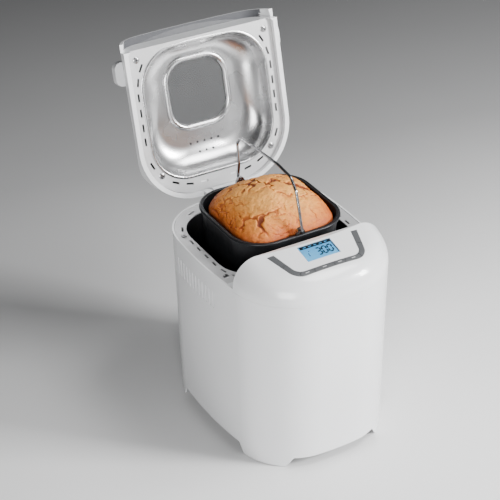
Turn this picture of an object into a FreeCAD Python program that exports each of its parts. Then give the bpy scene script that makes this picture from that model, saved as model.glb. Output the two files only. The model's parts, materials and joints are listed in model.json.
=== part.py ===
import FreeCAD, Part
import math
import os
import Sketcher

# Bread machine, standing open with its pan lifted out of the oven.
# Millimetres. X is to the right seen from the front, -Y is the front and +Z is up.
# Z = 0 is the surface it stands on.  While the pieces are built, Y = 0 is midway between the
# body's front and rear; each Placement then moves them back to the row's own origin.
# The lid is built closed and the pan is built seated: their Placements open and lift them.

doc = FreeCAD.newDocument("BreadMachine")
sheet = doc.addObject("Spreadsheet::Sheet", "Sizes")

SIZES = {
    # body outline, widest and deepest at the seam
    "half_width": 126.0,
    "front_reach": 160.0,
    "rear_reach": 159.2,
    "side_bow_radius": 660.0,
    "front_bow_radius": 400.0,
    "rear_bow_radius": 900.0,
    "side_bow_middle": 25.0,
    "front_corner": 95.0,
    "rear_corner": 80.0,
    "base_inset": 5.4,
    "shell_wall": 2.5,
    "seam_bevel": 0.8,
    "seam_level": 276.0,
    "rim_level": 279.8,
    "arch_level": 16.0,
    "skirt_level": 0.8,
    "foot_front": 81.0,
    "foot_rear": 92.0,
    "foot_side": 76.0,
    "foot_slope": 10.0,
    "foot_rear_inset": 43.0,
    "foot_rear_back": 45.0,
    "foot_front_inset": 29.4,
    "foot_front_back": 51.0,
    "gland_gap": 0.2,
    # side vents
    "vent_low": 222.0,
    "vent_top": 250.0,
    "vent_width": 3.6,
    "vent_pitch": 9.4,
    "vent_first": -24.0,
    # deck and oven opening
    "deck_level": 279.3,
    "deck_thick": 2.0,
    "deck_gap": 0.5,
    "deck_front": 55.0,
    "oven_half_width": 104.0,
    "oven_front": 60.0,
    "oven_rear": 134.0,
    "oven_corner": 57.0,
    "oven_floor": 96.0,
    "sheet_wall": 1.0,
    "slot_long": 12.0,
    "slot_wide": 3.2,
    # console
    "console_back": 71.6,
    "console_arch_radius": 800.0,
    "console_round": 38.0,
    "console_brow": 320.8,
    "brow_deep": 10.0,
    "slope_start": 85.1,
    "slope_level": 322.7,
    "slope_angle": 11.3,
    # display and keys, measured along the sloping face
    "display_half": 25.5,
    "display_long": 30.0,
    "display_thick": 1.2,
    "band_top_half": 71.5,
    "band_low_half": 55.5,
    "band_long": 51.0,
    "band_corner": 22.0,
    "band_arm": 9.6,
    "band_bar": 7.2,
    "key_thick": 2.6,
    "key_proud": 0.5,
    "key_gap": 0.7,
    "key_travel": 0.8,
    "key_fit": 0.3,
    # lid, closed
    "hinge_back": 167.44,
    "hinge_level": 280.11,
    "lid_open": 103.26,
    "liner_level": 289.0,
    "liner_thick": 2.0,
    "liner_half": 118.0,
    "liner_front": 70.5,
    "liner_rear": 159.0,
    "liner_corner": 81.0,
    "lid_half": 125.0,
    "lid_rear": 165.5,
    "lid_rear_corner": 87.0,
    "lid_skirt": 281.3,
    "lid_top": 330.0,
    "lid_edge_round": 24.0,
    "lid_wall": 2.5,
    "lip_reach": 82.0,
    "lip_gap": 2.6,
    "grip_reach": 135.0,
    "dome_half": 100.0,
    "dome_front": 63.0,
    "dome_rear": 133.0,
    "dome_corner": 58.0,
    "dome_top": 323.0,
    "dome_draft": 20.0,
    "window_half": 45.0,
    "window_front": 28.0,
    "window_rear": 66.0,
    "window_corner": 28.0,
    "bezel_wide": 10.0,
    "bezel_high": 3.5,
    "flange_wide": 3.0,
    "flange_thick": 1.2,
    "lid_over_console": 6.7,
    "hinge_pin_radius": 2.5,
    "pin_clearance": 0.06,
    "knuckle_radius": 8.0,
    "hinge_block_radius": 10.3,
    "hinge_block_half": 19.0,
    "knuckle_outer": 31.0,
    # pan, seated
    "pan_lift": 60.0,
    "pan_middle": 33.5,
    "pan_rim": 258.0,
    "pan_floor": 128.0,
    "pan_half": 83.0,
    "pan_low_half": 76.0,
    "pan_corner": 48.0,
    "pan_wall": 1.6,
    "rim_half": 86.5,
    "rim_roll": 4.0,
    "loaf_fit": 1.0,
    "loaf_rise": 40.0,
    "loaf_sink": 5.0,
    "loaf_set_in": 5.5,
    "loaf_forward": 3.0,
    "paddle_reach": 30.0,
    "paddle_shaft_radius": 4.0,
    "bail_radius": 2.1,
    "bail_axis": 263.0,
    "bail_rise": 77.0,
    "bail_clearance": 0.3,
    # drive
    "shaft_radius": 4.0,
    "shaft_clearance": 0.05,
    "drive_pulley_radius": 45.0,
    "motor_pulley_radius": 9.0,
    "pulley_low": 42.0,
    "pulley_thick": 10.0,
    "belt_thick": 1.8,
    "belt_gap": 0.3,
    "motor_forward": 108.0,
    "motor_radius": 32.0,
    "motor_long": 62.0,
    "frame_level": 62.0,
    "frame_thick": 2.5,
    # element and small parts
    "element_radius": 3.2,
    "element_level": 110.0,
    "element_inset": 12.0,
    "element_gap": 1.0,
    "pad_radius": 9.0,
    "pad_thick": 3.0,
    # where the row's origin lies behind the body's middle
    "origin_back": 55.6,
}

for row, (alias, number) in enumerate(SIZES.items(), start=1):
    sheet.set(f"A{row}", alias)
    sheet.set(f"B{row}", str(number))
    sheet.setAlias(f"B{row}", alias)
doc.recompute()


class Size:
    """A number from the sheet, together with the expression that gives it."""

    def __init__(self, number, text):
        self.number = number
        self.text = text

    def __add__(self, other):
        other = size(other)
        return Size(self.number + other.number, f"({self.text} + {other.text})")

    def __sub__(self, other):
        other = size(other)
        return Size(self.number - other.number, f"({self.text} - {other.text})")

    def __mul__(self, other):
        other = size(other)
        return Size(self.number * other.number, f"({self.text} * {other.text})")

    def __truediv__(self, other):
        other = size(other)
        return Size(self.number / other.number, f"({self.text} / {other.text})")

    def __neg__(self):
        return Size(-self.number, f"(0 - {self.text})")

    def __radd__(self, other):
        return size(other) + self

    def __rsub__(self, other):
        return size(other) - self

    def __rmul__(self, other):
        return size(other) * self


def size(value):
    if isinstance(value, Size):
        return value
    return Size(float(value), repr(float(value)))


def cell(alias):
    return Size(float(sheet.get(alias)), f"Sizes.{alias}")


def cosine(angle):
    return Size(math.cos(math.radians(angle.number)), f"cos({angle.text})")


def sine(angle):
    return Size(math.sin(math.radians(angle.number)), f"sin({angle.text})")


def bind(thing, name, value):
    thing.setExpression(name, size(value).text)


def vec(x, y, z=0.0):
    return FreeCAD.Vector(size(x).number, size(y).number, size(z).number)


C = {alias: cell(alias) for alias in SIZES}

# ---------------------------------------------------------------- primitives and booleans


def place_at(thing, x, y, z, axis=None, angle=0.0):
    turn = FreeCAD.Rotation(axis, angle) if axis else FreeCAD.Rotation()
    thing.Placement = FreeCAD.Placement(vec(x, y, z), turn)
    bind(thing, "Placement.Base.x", x)
    bind(thing, "Placement.Base.y", y)
    bind(thing, "Placement.Base.z", z)
    return thing


def block(name, x, y, z):
    """A box between two values on each axis."""
    thing = doc.addObject("Part::Box", name)
    for edge, (low, high) in zip(("Length", "Width", "Height"), (x, y, z)):
        bind(thing, edge, size(high) - low)
    return place_at(thing, x[0], y[0], z[0])


def rod(name, radius, x, y, z):
    """An upright cylinder between two levels."""
    thing = doc.addObject("Part::Cylinder", name)
    bind(thing, "Radius", radius)
    bind(thing, "Height", size(z[1]) - z[0])
    return place_at(thing, x, y, z[0])


def rod_x(name, radius, x, y, z):
    thing = doc.addObject("Part::Cylinder", name)
    bind(thing, "Radius", radius)
    bind(thing, "Height", size(x[1]) - x[0])
    return place_at(thing, x[0], y, z, FreeCAD.Vector(0, 1, 0), 90)


def rod_y(name, radius, x, y, z):
    thing = doc.addObject("Part::Cylinder", name)
    bind(thing, "Radius", radius)
    bind(thing, "Height", size(y[1]) - y[0])
    return place_at(thing, x, y[0], z, FreeCAD.Vector(1, 0, 0), -90)


def fuse(name, *shapes):
    thing = doc.addObject("Part::MultiFuse", name)
    thing.Shapes = list(shapes)
    return thing


def group(name, *shapes):
    """Separate solids of one kind in one node."""
    thing = doc.addObject("Part::Compound", name)
    thing.Links = list(shapes)
    return thing


def cut(name, base, *tools):
    thing = doc.addObject("Part::Cut", name)
    thing.Base = base
    thing.Tool = tools[0] if len(tools) == 1 else group(name + "Tools", *tools)
    return thing


def common(name, *shapes):
    thing = doc.addObject("Part::MultiCommon", name)
    thing.Shapes = list(shapes)
    return thing


# ---------------------------------------------------------------- outlines in sketches


def pin_point(sketch, geometry, point, x, y):
    """Hold one point of a sketch at two bound distances from its origin."""
    for kind, value in (("DistanceX", size(x)), ("DistanceY", size(y))):
        ends = (-1, 1, geometry, point)
        if value.number < 0:
            ends = (geometry, point, -1, 1)
        held = sketch.addConstraint(Sketcher.Constraint(kind, *ends, abs(value.number)))
        bind(sketch, f"Constraints[{held}]", -value if value.number < 0 else value)


def close_chain(sketch, count):
    """Join each stretch of an outline to the next one smoothly."""
    for i in range(count):
        sketch.addConstraint(Sketcher.Constraint("Tangent", i, 2, (i + 1) % count, 1))


def arc(centre, radius, start, end):
    circle = Part.Circle(centre, FreeCAD.Vector(0, 0, 1), radius)
    first = math.atan2(start.y - centre.y, start.x - centre.x)
    last = math.atan2(end.y - centre.y, end.x - centre.x)
    return Part.ArcOfCircle(circle, first, last if last > first else last + 2 * math.pi)


def new_sketch(name, level, owner=None):
    if owner is None:
        sketch = doc.addObject("Sketcher::SketchObject", name)
        return place_at(sketch, 0, 0, level)
    sketch = owner.newObject("Sketcher::SketchObject", name)
    planes = [o for o in owner.Origin.OriginFeatures if o.Role == "XY_Plane"]
    sketch.AttachmentSupport = (planes[0], [""])
    sketch.MapMode = "FlatFace"
    sketch.AttachmentOffset = FreeCAD.Placement(vec(0, 0, level), FreeCAD.Rotation())
    bind(sketch, "AttachmentOffset.Base.z", level)
    return sketch


def rounded_outline(name, level, half, front, rear, front_corner, rear_corner, owner=None):
    """Rectangle from -half to half and from front to rear, with two sizes of round corner."""
    sketch = new_sketch(name, level, owner)
    half, front, rear = size(half), size(front), size(rear)
    corners = [size(front_corner), size(front_corner), size(rear_corner), size(rear_corner)]
    centres = []
    for i, corner in enumerate(corners):
        cx = half - corner if i in (1, 2) else corner - half
        cy = front + corner if i < 2 else rear - corner
        centres.append(vec(cx, cy))
    turns = [(-1, 0, 0, -1), (0, -1, 1, 0), (1, 0, 0, 1), (0, 1, -1, 0)]
    points = []
    for centre, corner, (ax, ay, bx, by) in zip(centres, corners, turns):
        points.append(centre + vec(ax * corner.number, ay * corner.number))
        points.append(centre + vec(bx * corner.number, by * corner.number))
    for i in range(4):
        radius = corners[i].number
        sketch.addGeometry(arc(centres[i], radius, points[2 * i], points[2 * i + 1]), False)
        sketch.addGeometry(Part.LineSegment(points[2 * i + 1], points[(2 * i + 2) % 8]), False)
    close_chain(sketch, 8)
    for line, kind in ((1, "Horizontal"), (5, "Horizontal"), (3, "Vertical"), (7, "Vertical")):
        sketch.addConstraint(Sketcher.Constraint(kind, line))
    for i, corner in enumerate(corners):
        held = sketch.addConstraint(Sketcher.Constraint("Radius", 2 * i, corner.number))
        bind(sketch, f"Constraints[{held}]", corner)
    pin_point(sketch, 0, 3, corners[0] - half, front + corners[0])
    pin_point(sketch, 4, 3, half - corners[2], rear - corners[2])
    return sketch


def circle_meeting(first, first_reach, second, second_reach, side):
    """The point at two given distances from two centres, on the wanted side of their line."""
    line = second - first
    gap = line.Length
    along = (first_reach**2 - second_reach**2 + gap**2) / (2 * gap)
    across = math.sqrt(first_reach**2 - along**2)
    line.normalize()
    normal = FreeCAD.Vector(-line.y, line.x, 0) * side
    return first + line * along + normal * across


def bowed_outline(name, level, inset, owner=None):
    """The body's outline: four gently bowed sides joined by four large round corners."""
    sketch = new_sketch(name, level, owner)
    side, front = C["side_bow_radius"] - inset, C["front_bow_radius"] - inset
    rear = C["rear_bow_radius"] - inset
    side_shift = C["side_bow_radius"] - C["half_width"]
    front_shift = C["front_bow_radius"] - C["front_reach"]
    rear_shift = C["rear_bow_radius"] - C["rear_reach"]
    middle = C["side_bow_middle"]
    bows = [(0, front_shift, front), (-side_shift, middle, side)]
    bows += [(0, -rear_shift, rear), (side_shift, middle, side)]
    near, far = C["front_corner"] - inset, C["rear_corner"] - inset
    corners = [near, far, far, near]
    hubs = [vec(x, y) for x, y, radius in bows]
    centres = []
    for i, corner in enumerate(corners):
        j = (i + 1) % 4
        reach = bows[i][2].number - corner.number, bows[j][2].number - corner.number
        options = [circle_meeting(hubs[i], reach[0], hubs[j], reach[1], s) for s in (-1, 1)]
        wanted = vec(1 if i in (0, 1) else -1, -1 if i in (0, 3) else 1)
        centres.append(max(options, key=lambda p: p.dot(wanted)))
    ends = []
    for i, corner in enumerate(corners):
        pair = []
        for j in (i, (i + 1) % 4):
            out = centres[i] - hubs[j]
            out.normalize()
            pair.append(hubs[j] + out * bows[j][2].number)
        ends.append(pair)
    for i in range(4):
        start, stop = ends[i - 1][1], ends[i][0]
        sketch.addGeometry(arc(hubs[i], bows[i][2].number, start, stop), False)
        sketch.addGeometry(arc(centres[i], corners[i].number, *ends[i]), False)
    close_chain(sketch, 8)
    for i in range(4):
        for k, radius in ((2 * i, bows[i][2]), (2 * i + 1, corners[i])):
            held = sketch.addConstraint(Sketcher.Constraint("Radius", k, radius.number))
            bind(sketch, f"Constraints[{held}]", radius)
        pin_point(sketch, 2 * i, 3, bows[i][0], bows[i][1])
    return sketch


def prism(name, outline, height):
    thing = doc.addObject("Part::Extrusion", name)
    thing.Base = outline
    thing.Dir = FreeCAD.Vector(0, 0, 1)
    thing.DirMode = "Custom"
    thing.Solid = True
    bind(thing, "LengthFwd", height)
    return thing


def loft(name, *outlines):
    thing = doc.addObject("Part::Loft", name)
    thing.Sections = list(outlines)
    thing.Solid = True
    thing.Ruled = False
    return thing


def polygon(name, points):
    """A closed outline with straight sides."""
    thing = doc.addObject("Part::Feature", name)
    thing.Shape = Part.makePolygon(points + points[:1])
    return thing


def slab(name, points, direction):
    """A straight-sided outline swept along a direction."""
    thing = doc.addObject("Part::Extrusion", name)
    thing.Base = polygon(name + "Outline", points)
    thing.Dir = direction
    thing.DirMode = "Custom"
    thing.LengthFwd = direction.Length
    thing.Solid = True
    return thing


def bent_path(points, radius):
    """Straight runs joined by tangent arcs."""
    edges = []
    start = points[0]
    for before, corner, after in zip(points, points[1:], points[2:]):
        inward, outward = before - corner, after - corner
        half_turn = (math.pi - inward.getAngle(outward)) / 2
        reach = radius * math.tan(half_turn)
        reach = min(reach, 0.4 * inward.Length, 0.4 * outward.Length)
        inward.normalize()
        outward.normalize()
        bend = reach / math.tan(half_turn)
        bisector = inward + outward
        bisector.normalize()
        middle = corner + bisector * (bend / math.cos(half_turn) - bend)
        first, last = corner + inward * reach, corner + outward * reach
        edges.append(Part.LineSegment(start, first).toShape())
        edges.append(Part.Arc(first, middle, last).toShape())
        start = last
    edges.append(Part.LineSegment(start, points[-1]).toShape())
    return Part.Wire(edges)


def tube(name, points, radius, bend):
    """A round wire or tube along a bent path."""
    spine = doc.addObject("Part::Feature", name + "Path")
    spine.Shape = bent_path(points, bend)
    profile = doc.addObject("Part::Circle", name + "Section")
    bind(profile, "Radius", radius)
    heading = points[1] - points[0]
    turn = FreeCAD.Rotation(FreeCAD.Vector(0, 0, 1), heading)
    profile.Placement = FreeCAD.Placement(points[0], turn)
    thing = doc.addObject("Part::Sweep", name)
    thing.Sections = [profile]
    thing.Spine = (spine, [f"Edge{i + 1}" for i in range(len(spine.Shape.Edges))])
    thing.Solid = True
    thing.Frenet = False
    return thing


# ---------------------------------------------------------------- frames and the register

subparts = []


def settle(label, thing, frame="body"):
    """Name a finished sub-part and move it from where it is built to where it stands."""
    back, level = C["hinge_back"], C["hinge_level"]
    angle = C["lid_open"]
    if frame == "lid":
        y = back - (back * cosine(angle) + level * sine(angle)) - C["origin_back"]
        z = level - (level * cosine(angle) - back * sine(angle))
        place_at(thing, 0, y, z, FreeCAD.Vector(-1, 0, 0), angle.number)
        bind(thing, "Placement.Rotation.Angle", angle)
    elif frame == "panel":
        angle = C["slope_angle"]
        y = -C["slope_start"] - C["origin_back"]
        place_at(thing, 0, y, C["slope_level"], FreeCAD.Vector(1, 0, 0), angle.number)
        bind(thing, "Placement.Rotation.Angle", angle)
    else:
        lift = C["pan_lift"] if frame == "pan" else 0
        place_at(thing, 0, -C["origin_back"], lift)
    thing.Label = label
    subparts.append((label, thing))
    return thing


BOTH = (-1, 1)

# ---------------------------------------------------------------- body


def housing_body():
    """The wrap-round wall of the body: a tapering shell, open above and below."""
    body = doc.addObject("PartDesign::Body", "HousingWall")
    low, top, wall = C["skirt_level"], C["rim_level"], C["shell_wall"]
    outer = body.newObject("PartDesign::AdditiveLoft", "HousingOuter")
    outer.Profile = bowed_outline("HousingFoot", low, C["base_inset"], body)
    outer.Sections = [bowed_outline("HousingRim", top, 0, body)]
    doc.recompute()
    inner = body.newObject("PartDesign::SubtractiveLoft", "HousingHollow")
    inner.Profile = bowed_outline("HollowFoot", low, C["base_inset"] + wall, body)
    inner.Sections = [bowed_outline("HollowRim", top, wall, body)]
    return body


def foot_arches():
    """The cut-outs under the walls that leave a foot at each corner."""
    top = C["arch_level"].number
    low = C["skirt_level"].number - 1
    slope = C["foot_slope"].number
    reach = C["front_reach"].number + 10
    front, rear, side = -C["foot_front"].number, C["foot_rear"].number, C["foot_side"].number
    long_way = [(front, low), (front + slope, top), (rear - slope, top), (rear, low)]
    cross_way = [(-side, low), (slope - side, top), (side - slope, top), (side, low)]
    sides = [vec(-reach, y, z) for y, z in long_way]
    ends = [vec(x, -reach, z) for x, z in cross_way]
    return [
        slab("SideArches", sides, vec(2 * reach, 0, 0)),
        slab("EndArches", ends, vec(0, 2 * reach, 0)),
    ]


def vent_slots():
    slots = []
    for side in BOTH:
        for i in range(12):
            y = C["vent_first"] + C["vent_pitch"] * i
            x = (C["half_width"] - 15, C["half_width"] + 5)
            x = x if side > 0 else (-x[1], -x[0])
            z = (C["vent_low"], C["vent_top"])
            slots.append(block("Vent", x, (y, y + C["vent_width"]), z))
    return slots


GLAND_X = -32.0
GLAND_LEVEL = 48.0
GLAND_RADIUS = 8.0


def seam_bevel():
    """The ring cut from the body's outer edge where the console stands on it."""
    deep = C["seam_bevel"]
    top, low = C["seam_level"], C["seam_level"] - deep
    kept = loft("BevelKept", bowed_outline("BevelFoot", low, 0), bowed_outline("BevelTop", top, deep))
    reach = C["half_width"] + 5
    front = (-C["front_reach"] - 5, -C["console_back"])
    return cut("SeamBevel", block("BevelBlock", (-reach, reach), front, (low, top)), kept)


def housing_shell():
    reach = C["half_width"] + 5
    front = (-C["front_reach"] - 5, -C["console_back"])
    step = block("ConsoleStep", (-reach, reach), front, (C["seam_level"], C["rim_level"] + 5))
    back = (C["rear_reach"] - 25, C["rear_reach"] + 5)
    hole = rod_y("GlandHole", GLAND_RADIUS + C["gland_gap"], GLAND_X, back, GLAND_LEVEL)
    tools = foot_arches() + vent_slots() + [step, hole, seam_bevel()]
    settle("housing_shell", cut("HousingShell", housing_body(), *tools))


def cord_gland():
    """Where a mains lead would leave the rear wall."""
    wall = C["rear_reach"]
    stem = rod_y("GlandStem", GLAND_RADIUS, GLAND_X, (wall - 12, wall + 7), GLAND_LEVEL)
    flange = rod_y("GlandFlange", GLAND_RADIUS + 3, GLAND_X, (wall + 0.1, wall + 3), GLAND_LEVEL)
    bore = rod_y("GlandBore", 3.4, GLAND_X, (wall - 15, wall + 9), GLAND_LEVEL)
    settle("cord_gland", cut("CordGland", fuse("GlandSolid", stem, flange), bore))


def base_plate():
    """The bottom cover, with a boss in each corner foot."""
    inset = C["base_inset"] + C["shell_wall"] + 0.8
    level = C["arch_level"] + 1
    plate = prism("BaseSheet", bowed_outline("BaseOutline", level, inset), 2.5)
    pieces = [plate]
    slots = []
    for side in BOTH:
        for forward in BOTH:
            x, y = foot_place(side, forward)
            pieces.append(rod("FootBoss", C["pad_radius"] + 2, x, y, (C["pad_thick"], level + 1)))
        for i in range(6):
            y = size(10 + 9 * i)
            spot = (size(30 * side) - 12, size(30 * side) + 12)
            slots.append(block("BaseVent", spot, (y, y + 4), (level - 1, level + 4)))
    settle("base_plate", cut("BasePlate", fuse("BaseSolid", *pieces), *slots))


def foot_place(side, forward):
    """The middle of a corner foot."""
    if forward < 0:
        return size(side) * (C["half_width"] - C["foot_rear_inset"]), C["rear_reach"] - C["foot_rear_back"]
    y = C["foot_front_back"] - C["front_reach"]
    away = C["side_bow_middle"] - y
    bow = away * away / (C["side_bow_radius"] * 2)
    return size(side) * (C["half_width"] - C["foot_front_inset"] - bow), y


def foot_pads():
    pads = []
    for side in BOTH:
        for forward in BOTH:
            x, y = foot_place(side, forward)
            pads.append(rod("Pad", C["pad_radius"], x, y, (0, C["pad_thick"])))
    settle("foot_pads", group("FootPads", *pads))


# ---------------------------------------------------------------- deck and oven

SLOT_PLACES = [
    (109, 65, 90), (109, 44, 90), (109, 22, 90), (109, -1, 90), (106.5, -23, 77),
    (99, -43, 62), (104, 103, 114), (71.5, 137, 155), (49, 144.5, 168), (25, 146.5, 177),
]
DECK_SCREWS = [(111, 84), (110.5, -38)]


def slot(name, x, y, angle, low, high):
    """One air slot, with its long side turned from the X axis."""
    thing = doc.addObject("Part::Box", name)
    bind(thing, "Length", C["slot_long"])
    bind(thing, "Width", C["slot_wide"])
    bind(thing, "Height", size(high) - low)
    turn = FreeCAD.Rotation(FreeCAD.Vector(0, 0, 1), angle)
    half = FreeCAD.Vector(C["slot_long"].number / 2, C["slot_wide"].number / 2, 0)
    corner = FreeCAD.Vector(x, y, size(low).number) - turn.multVec(half)
    thing.Placement = FreeCAD.Placement(corner, turn)
    bind(thing, "Placement.Base.z", low)
    return thing


def slot_ring(name, low, high):
    slots = []
    for x, y, angle in SLOT_PLACES:
        slots.append(slot(name, x, y, angle, low, high))
        slots.append(slot(name, -x, y, 180 - angle, low, high))
    return slots


def oven_outline(name, level, grow):
    half = C["oven_half_width"] + grow
    corner = C["oven_corner"] + grow
    front, rear = -C["oven_front"] - grow, C["oven_rear"] + grow
    return rounded_outline(name, level, half, front, rear, corner, corner)


def screw_holes(name, places, radius, low, high):
    return [rod(name, radius, side * x, y, (low, high)) for x, y in places for side in BOTH]


def deck_frame():
    """The grey horseshoe plate round the oven opening."""
    low = C["deck_level"] - C["deck_thick"]
    inset = C["shell_wall"] + C["deck_gap"]
    plate = prism("DeckSheet", bowed_outline("DeckOutline", low, inset), C["deck_thick"])
    hole = prism("DeckHole", oven_outline("DeckHoleOutline", low - 1, 0), C["deck_thick"] + 2)
    reach = C["half_width"] + 5
    front = (-C["front_reach"] - 5, -C["deck_front"])
    nose = block("DeckNose", (-reach, reach), front, (low - 1, low + 5))
    tools = [hole, nose] + slot_ring("DeckSlot", low - 1, low + 4)
    tools += screw_holes("DeckScrewHole", DECK_SCREWS, 2.2, low - 1, low + 4)
    settle("deck_frame", cut("DeckFrame", plate, *tools))


def deck_screws():
    top = C["deck_level"]
    screws = []
    for x, y in DECK_SCREWS:
        for side in BOTH:
            head = rod("DeckScrewHead", 4.2, side * x, y, (top + 0.02, top + 1.6))
            shank = rod("DeckScrewShank", 1.9, side * x, y, (top - 2.5, top + 0.5))
            screws.append(fuse("DeckScrew", head, shank))
    settle("deck_screws", group("DeckScrews", *screws))


def oven_chamber():
    """The sheet-metal tub with a flange under the deck and a hole for the drive."""
    wall, floor = C["sheet_wall"], C["oven_floor"]
    top = C["deck_level"] - C["deck_thick"] - 0.1
    outer = prism("TubOuter", oven_outline("TubOuterOutline", floor - wall, wall), top - floor + wall)
    flange_plan = oven_outline("TubFlangeOutline", top - wall, 4.5)
    flange = prism("TubFlange", flange_plan, wall)
    hollow = prism("TubHollow", oven_outline("TubHollowOutline", floor, 0), top - floor + 5)
    middle = C["pan_middle"]
    hole = rod("TubDriveHole", 13, 0, middle, (floor - 5, floor + 5))
    inlet = rear_holes("ElementHole", C["element_radius"] + C["element_gap"])
    span = (-C["oven_front"] - 5, 5 - C["oven_front"])
    probe = rod_y("ProbeHole", 3.3, PROBE_X, span, PROBE_LEVEL)
    tools = [hollow, hole, probe] + inlet
    settle("oven_chamber", cut("OvenChamber", fuse("TubSolid", outer, flange), *tools))


ELEMENT_LEGS = 14.0
PROBE_X = 40.0
PROBE_LEVEL = 200.0


def rear_holes(name, radius):
    span = (C["oven_rear"] - 5, C["oven_rear"] + 12)
    level = C["element_level"]
    return [rod_y(name, radius, side * ELEMENT_LEGS, span, level) for side in BOTH]


def heating_element():
    """A round-cornered loop near the oven floor, whose two legs leave through the rear wall."""
    level = C["element_level"]
    half = C["oven_half_width"] - C["element_inset"]
    front, rear = C["element_inset"] - C["oven_front"], C["oven_rear"] - C["element_inset"]
    end = C["oven_rear"] + 9
    legs = [vec(-ELEMENT_LEGS, end, level), vec(-ELEMENT_LEGS, rear, level)]
    loop = [vec(-half, rear, level), vec(-half, front, level)]
    mirrored = [FreeCAD.Vector(-p.x, p.y, p.z) for p in reversed(legs + loop)]
    path = legs + loop + mirrored
    settle("heating_element", tube("HeatingElement", path, C["element_radius"], 46))


def element_terminals():
    """Ceramic bushes that carry the element's legs through the oven wall."""
    bushes = []
    outer = rear_holes("BushOuter", 6.5)
    inner = rear_holes("BushInner", C["element_radius"] + 0.2)
    for thing, hole in zip(outer, inner):
        span = (C["oven_rear"] + C["sheet_wall"] + 0.1, C["oven_rear"] + 6)
        bind(thing, "Placement.Base.y", span[0])
        bind(thing, "Height", span[1] - span[0])
        bushes.append(cut("ElementBush", thing, hole))
    settle("element_bushes", group("ElementBushes", *bushes))


def temperature_sensor():
    """A probe through the oven's front wall, held by a collar behind it."""
    wall = -C["oven_front"]
    probe = rod_y("SensorProbe", 3.0, PROBE_X, (wall - 8, wall + 3.5), PROBE_LEVEL)
    collar = rod_y("SensorCollar", 6.0, PROBE_X, (wall - 4, wall - C["sheet_wall"] - 0.1), PROBE_LEVEL)
    settle("temperature_sensor", fuse("TemperatureSensor", probe, collar))


def pan_seat():
    """The ring on the oven floor that the pan's base drops into."""
    low = C["oven_floor"] + 0.1
    outer = rod("SeatOuter", 50, 0, C["pan_middle"], (low, low + 9))
    inner = rod("SeatInner", 42.5, 0, C["pan_middle"], (low + 2, low + 12))
    hole = rod("SeatHole", 20, 0, C["pan_middle"], (low - 2, low + 12))
    settle("pan_seat", cut("PanSeat", outer, inner, hole))


def heat_shield():
    """A flat sheet between the oven and the front compartment."""
    back = -C["oven_front"] - 6
    span = (size(back) - 1, back)
    sheet_block = block("ShieldSheet", (-88, 88), span, (C["frame_level"] + 5, 268))
    hole = rod_y("ShieldProbeHole", 6.5, PROBE_X, (back - 5, back + 5), PROBE_LEVEL)
    settle("heat_shield", cut("HeatShield", sheet_block, hole))


# ---------------------------------------------------------------- drive


def drive_frame():
    """The pressed plate that carries the oven, the shaft and the motor on four posts."""
    low, thick = C["frame_level"], C["frame_thick"]
    top = low + thick
    middle = C["pan_middle"]
    plate = block("FramePlate", (-78, 78), (-C["motor_forward"] - 38, 118), (low, top))
    tongue = [block("FrameTrim", (s * 100 - 52, s * 100 + 52), (-170, -88), (low - 1, top + 1))
              for s in BOTH]
    posts = []
    for x in (-70, 70):
        for y in (-50, 110):
            posts.append(rod("LowerPost", 5, x, y, (C["arch_level"] + 3.5, low + 1)))
    for x in (-62, 62):
        for y in (-30, 98):
            upper = (top - 1, C["oven_floor"] - C["sheet_wall"] - 0.1)
            posts.append(rod("UpperPost", 5, x, y, upper))
    hole = rod("BushHole", 12, 0, middle, (low - 5, top + 5))
    shaft_hole = rod("MotorShaftHole", 6, 0, -C["motor_forward"], (low - 5, top + 5))
    solid = fuse("FrameSolid", plate, *posts)
    settle("drive_frame", cut("DriveFrame", solid, hole, shaft_hole, *tongue))


def shaft_bush():
    """The sintered bush that the drive shaft turns in."""
    low, middle = C["frame_level"], C["pan_middle"]
    top = C["oven_floor"] + 0.5
    barrel = rod("BushBarrel", 11.6, 0, middle, (low - 2, top))
    bore = rod("BushBore", C["shaft_radius"] + C["shaft_clearance"], 0, middle, (low - 8, top + 8))
    settle("shaft_bush", cut("ShaftBush", barrel, bore))


def drive_shaft():
    low = C["pulley_low"] - 3
    shaft = rod("DriveShaftRod", C["shaft_radius"], 0, C["pan_middle"], (low, C["oven_floor"] + 7))
    settle("drive_shaft", group("DriveShaft", shaft))


def pulley(name, radius, bore, y):
    """A flanged wheel with a hollow web."""
    low, high = C["pulley_low"], C["pulley_low"] + C["pulley_thick"]
    rim = rod(name + "Rim", radius, 0, y, (low + 0.8, high - 0.8))
    flanges = [rod(name + "Flange", radius + 2.6, 0, y, (low, low + 0.9)),
               rod(name + "Flange", radius + 2.6, 0, y, (high - 0.9, high))]
    hole = rod(name + "Bore", bore, 0, y, (low - 1, high + 1))
    return fuse(name + "Solid", rim, *flanges), hole


def drive_pulley():
    middle, low = C["pan_middle"], C["pulley_low"]
    radius = C["drive_pulley_radius"]
    solid, bore = pulley("DrivePulley", radius, C["shaft_radius"], middle)
    holes = []
    for i in range(6):
        turn = math.radians(60 * i)
        x = radius * (0.55 * math.cos(turn))
        y = middle + radius * (0.55 * math.sin(turn))
        holes.append(rod("WebHole", radius * 0.2, x, y, (low - 1, low + 20)))
    settle("drive_pulley", cut("DrivePulleyWheel", solid, bore, *holes))


def motor_pulley():
    solid, bore = pulley("MotorPulley", C["motor_pulley_radius"], 3, -C["motor_forward"])
    settle("motor_pulley", cut("MotorPulleyWheel", solid, bore))


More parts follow.
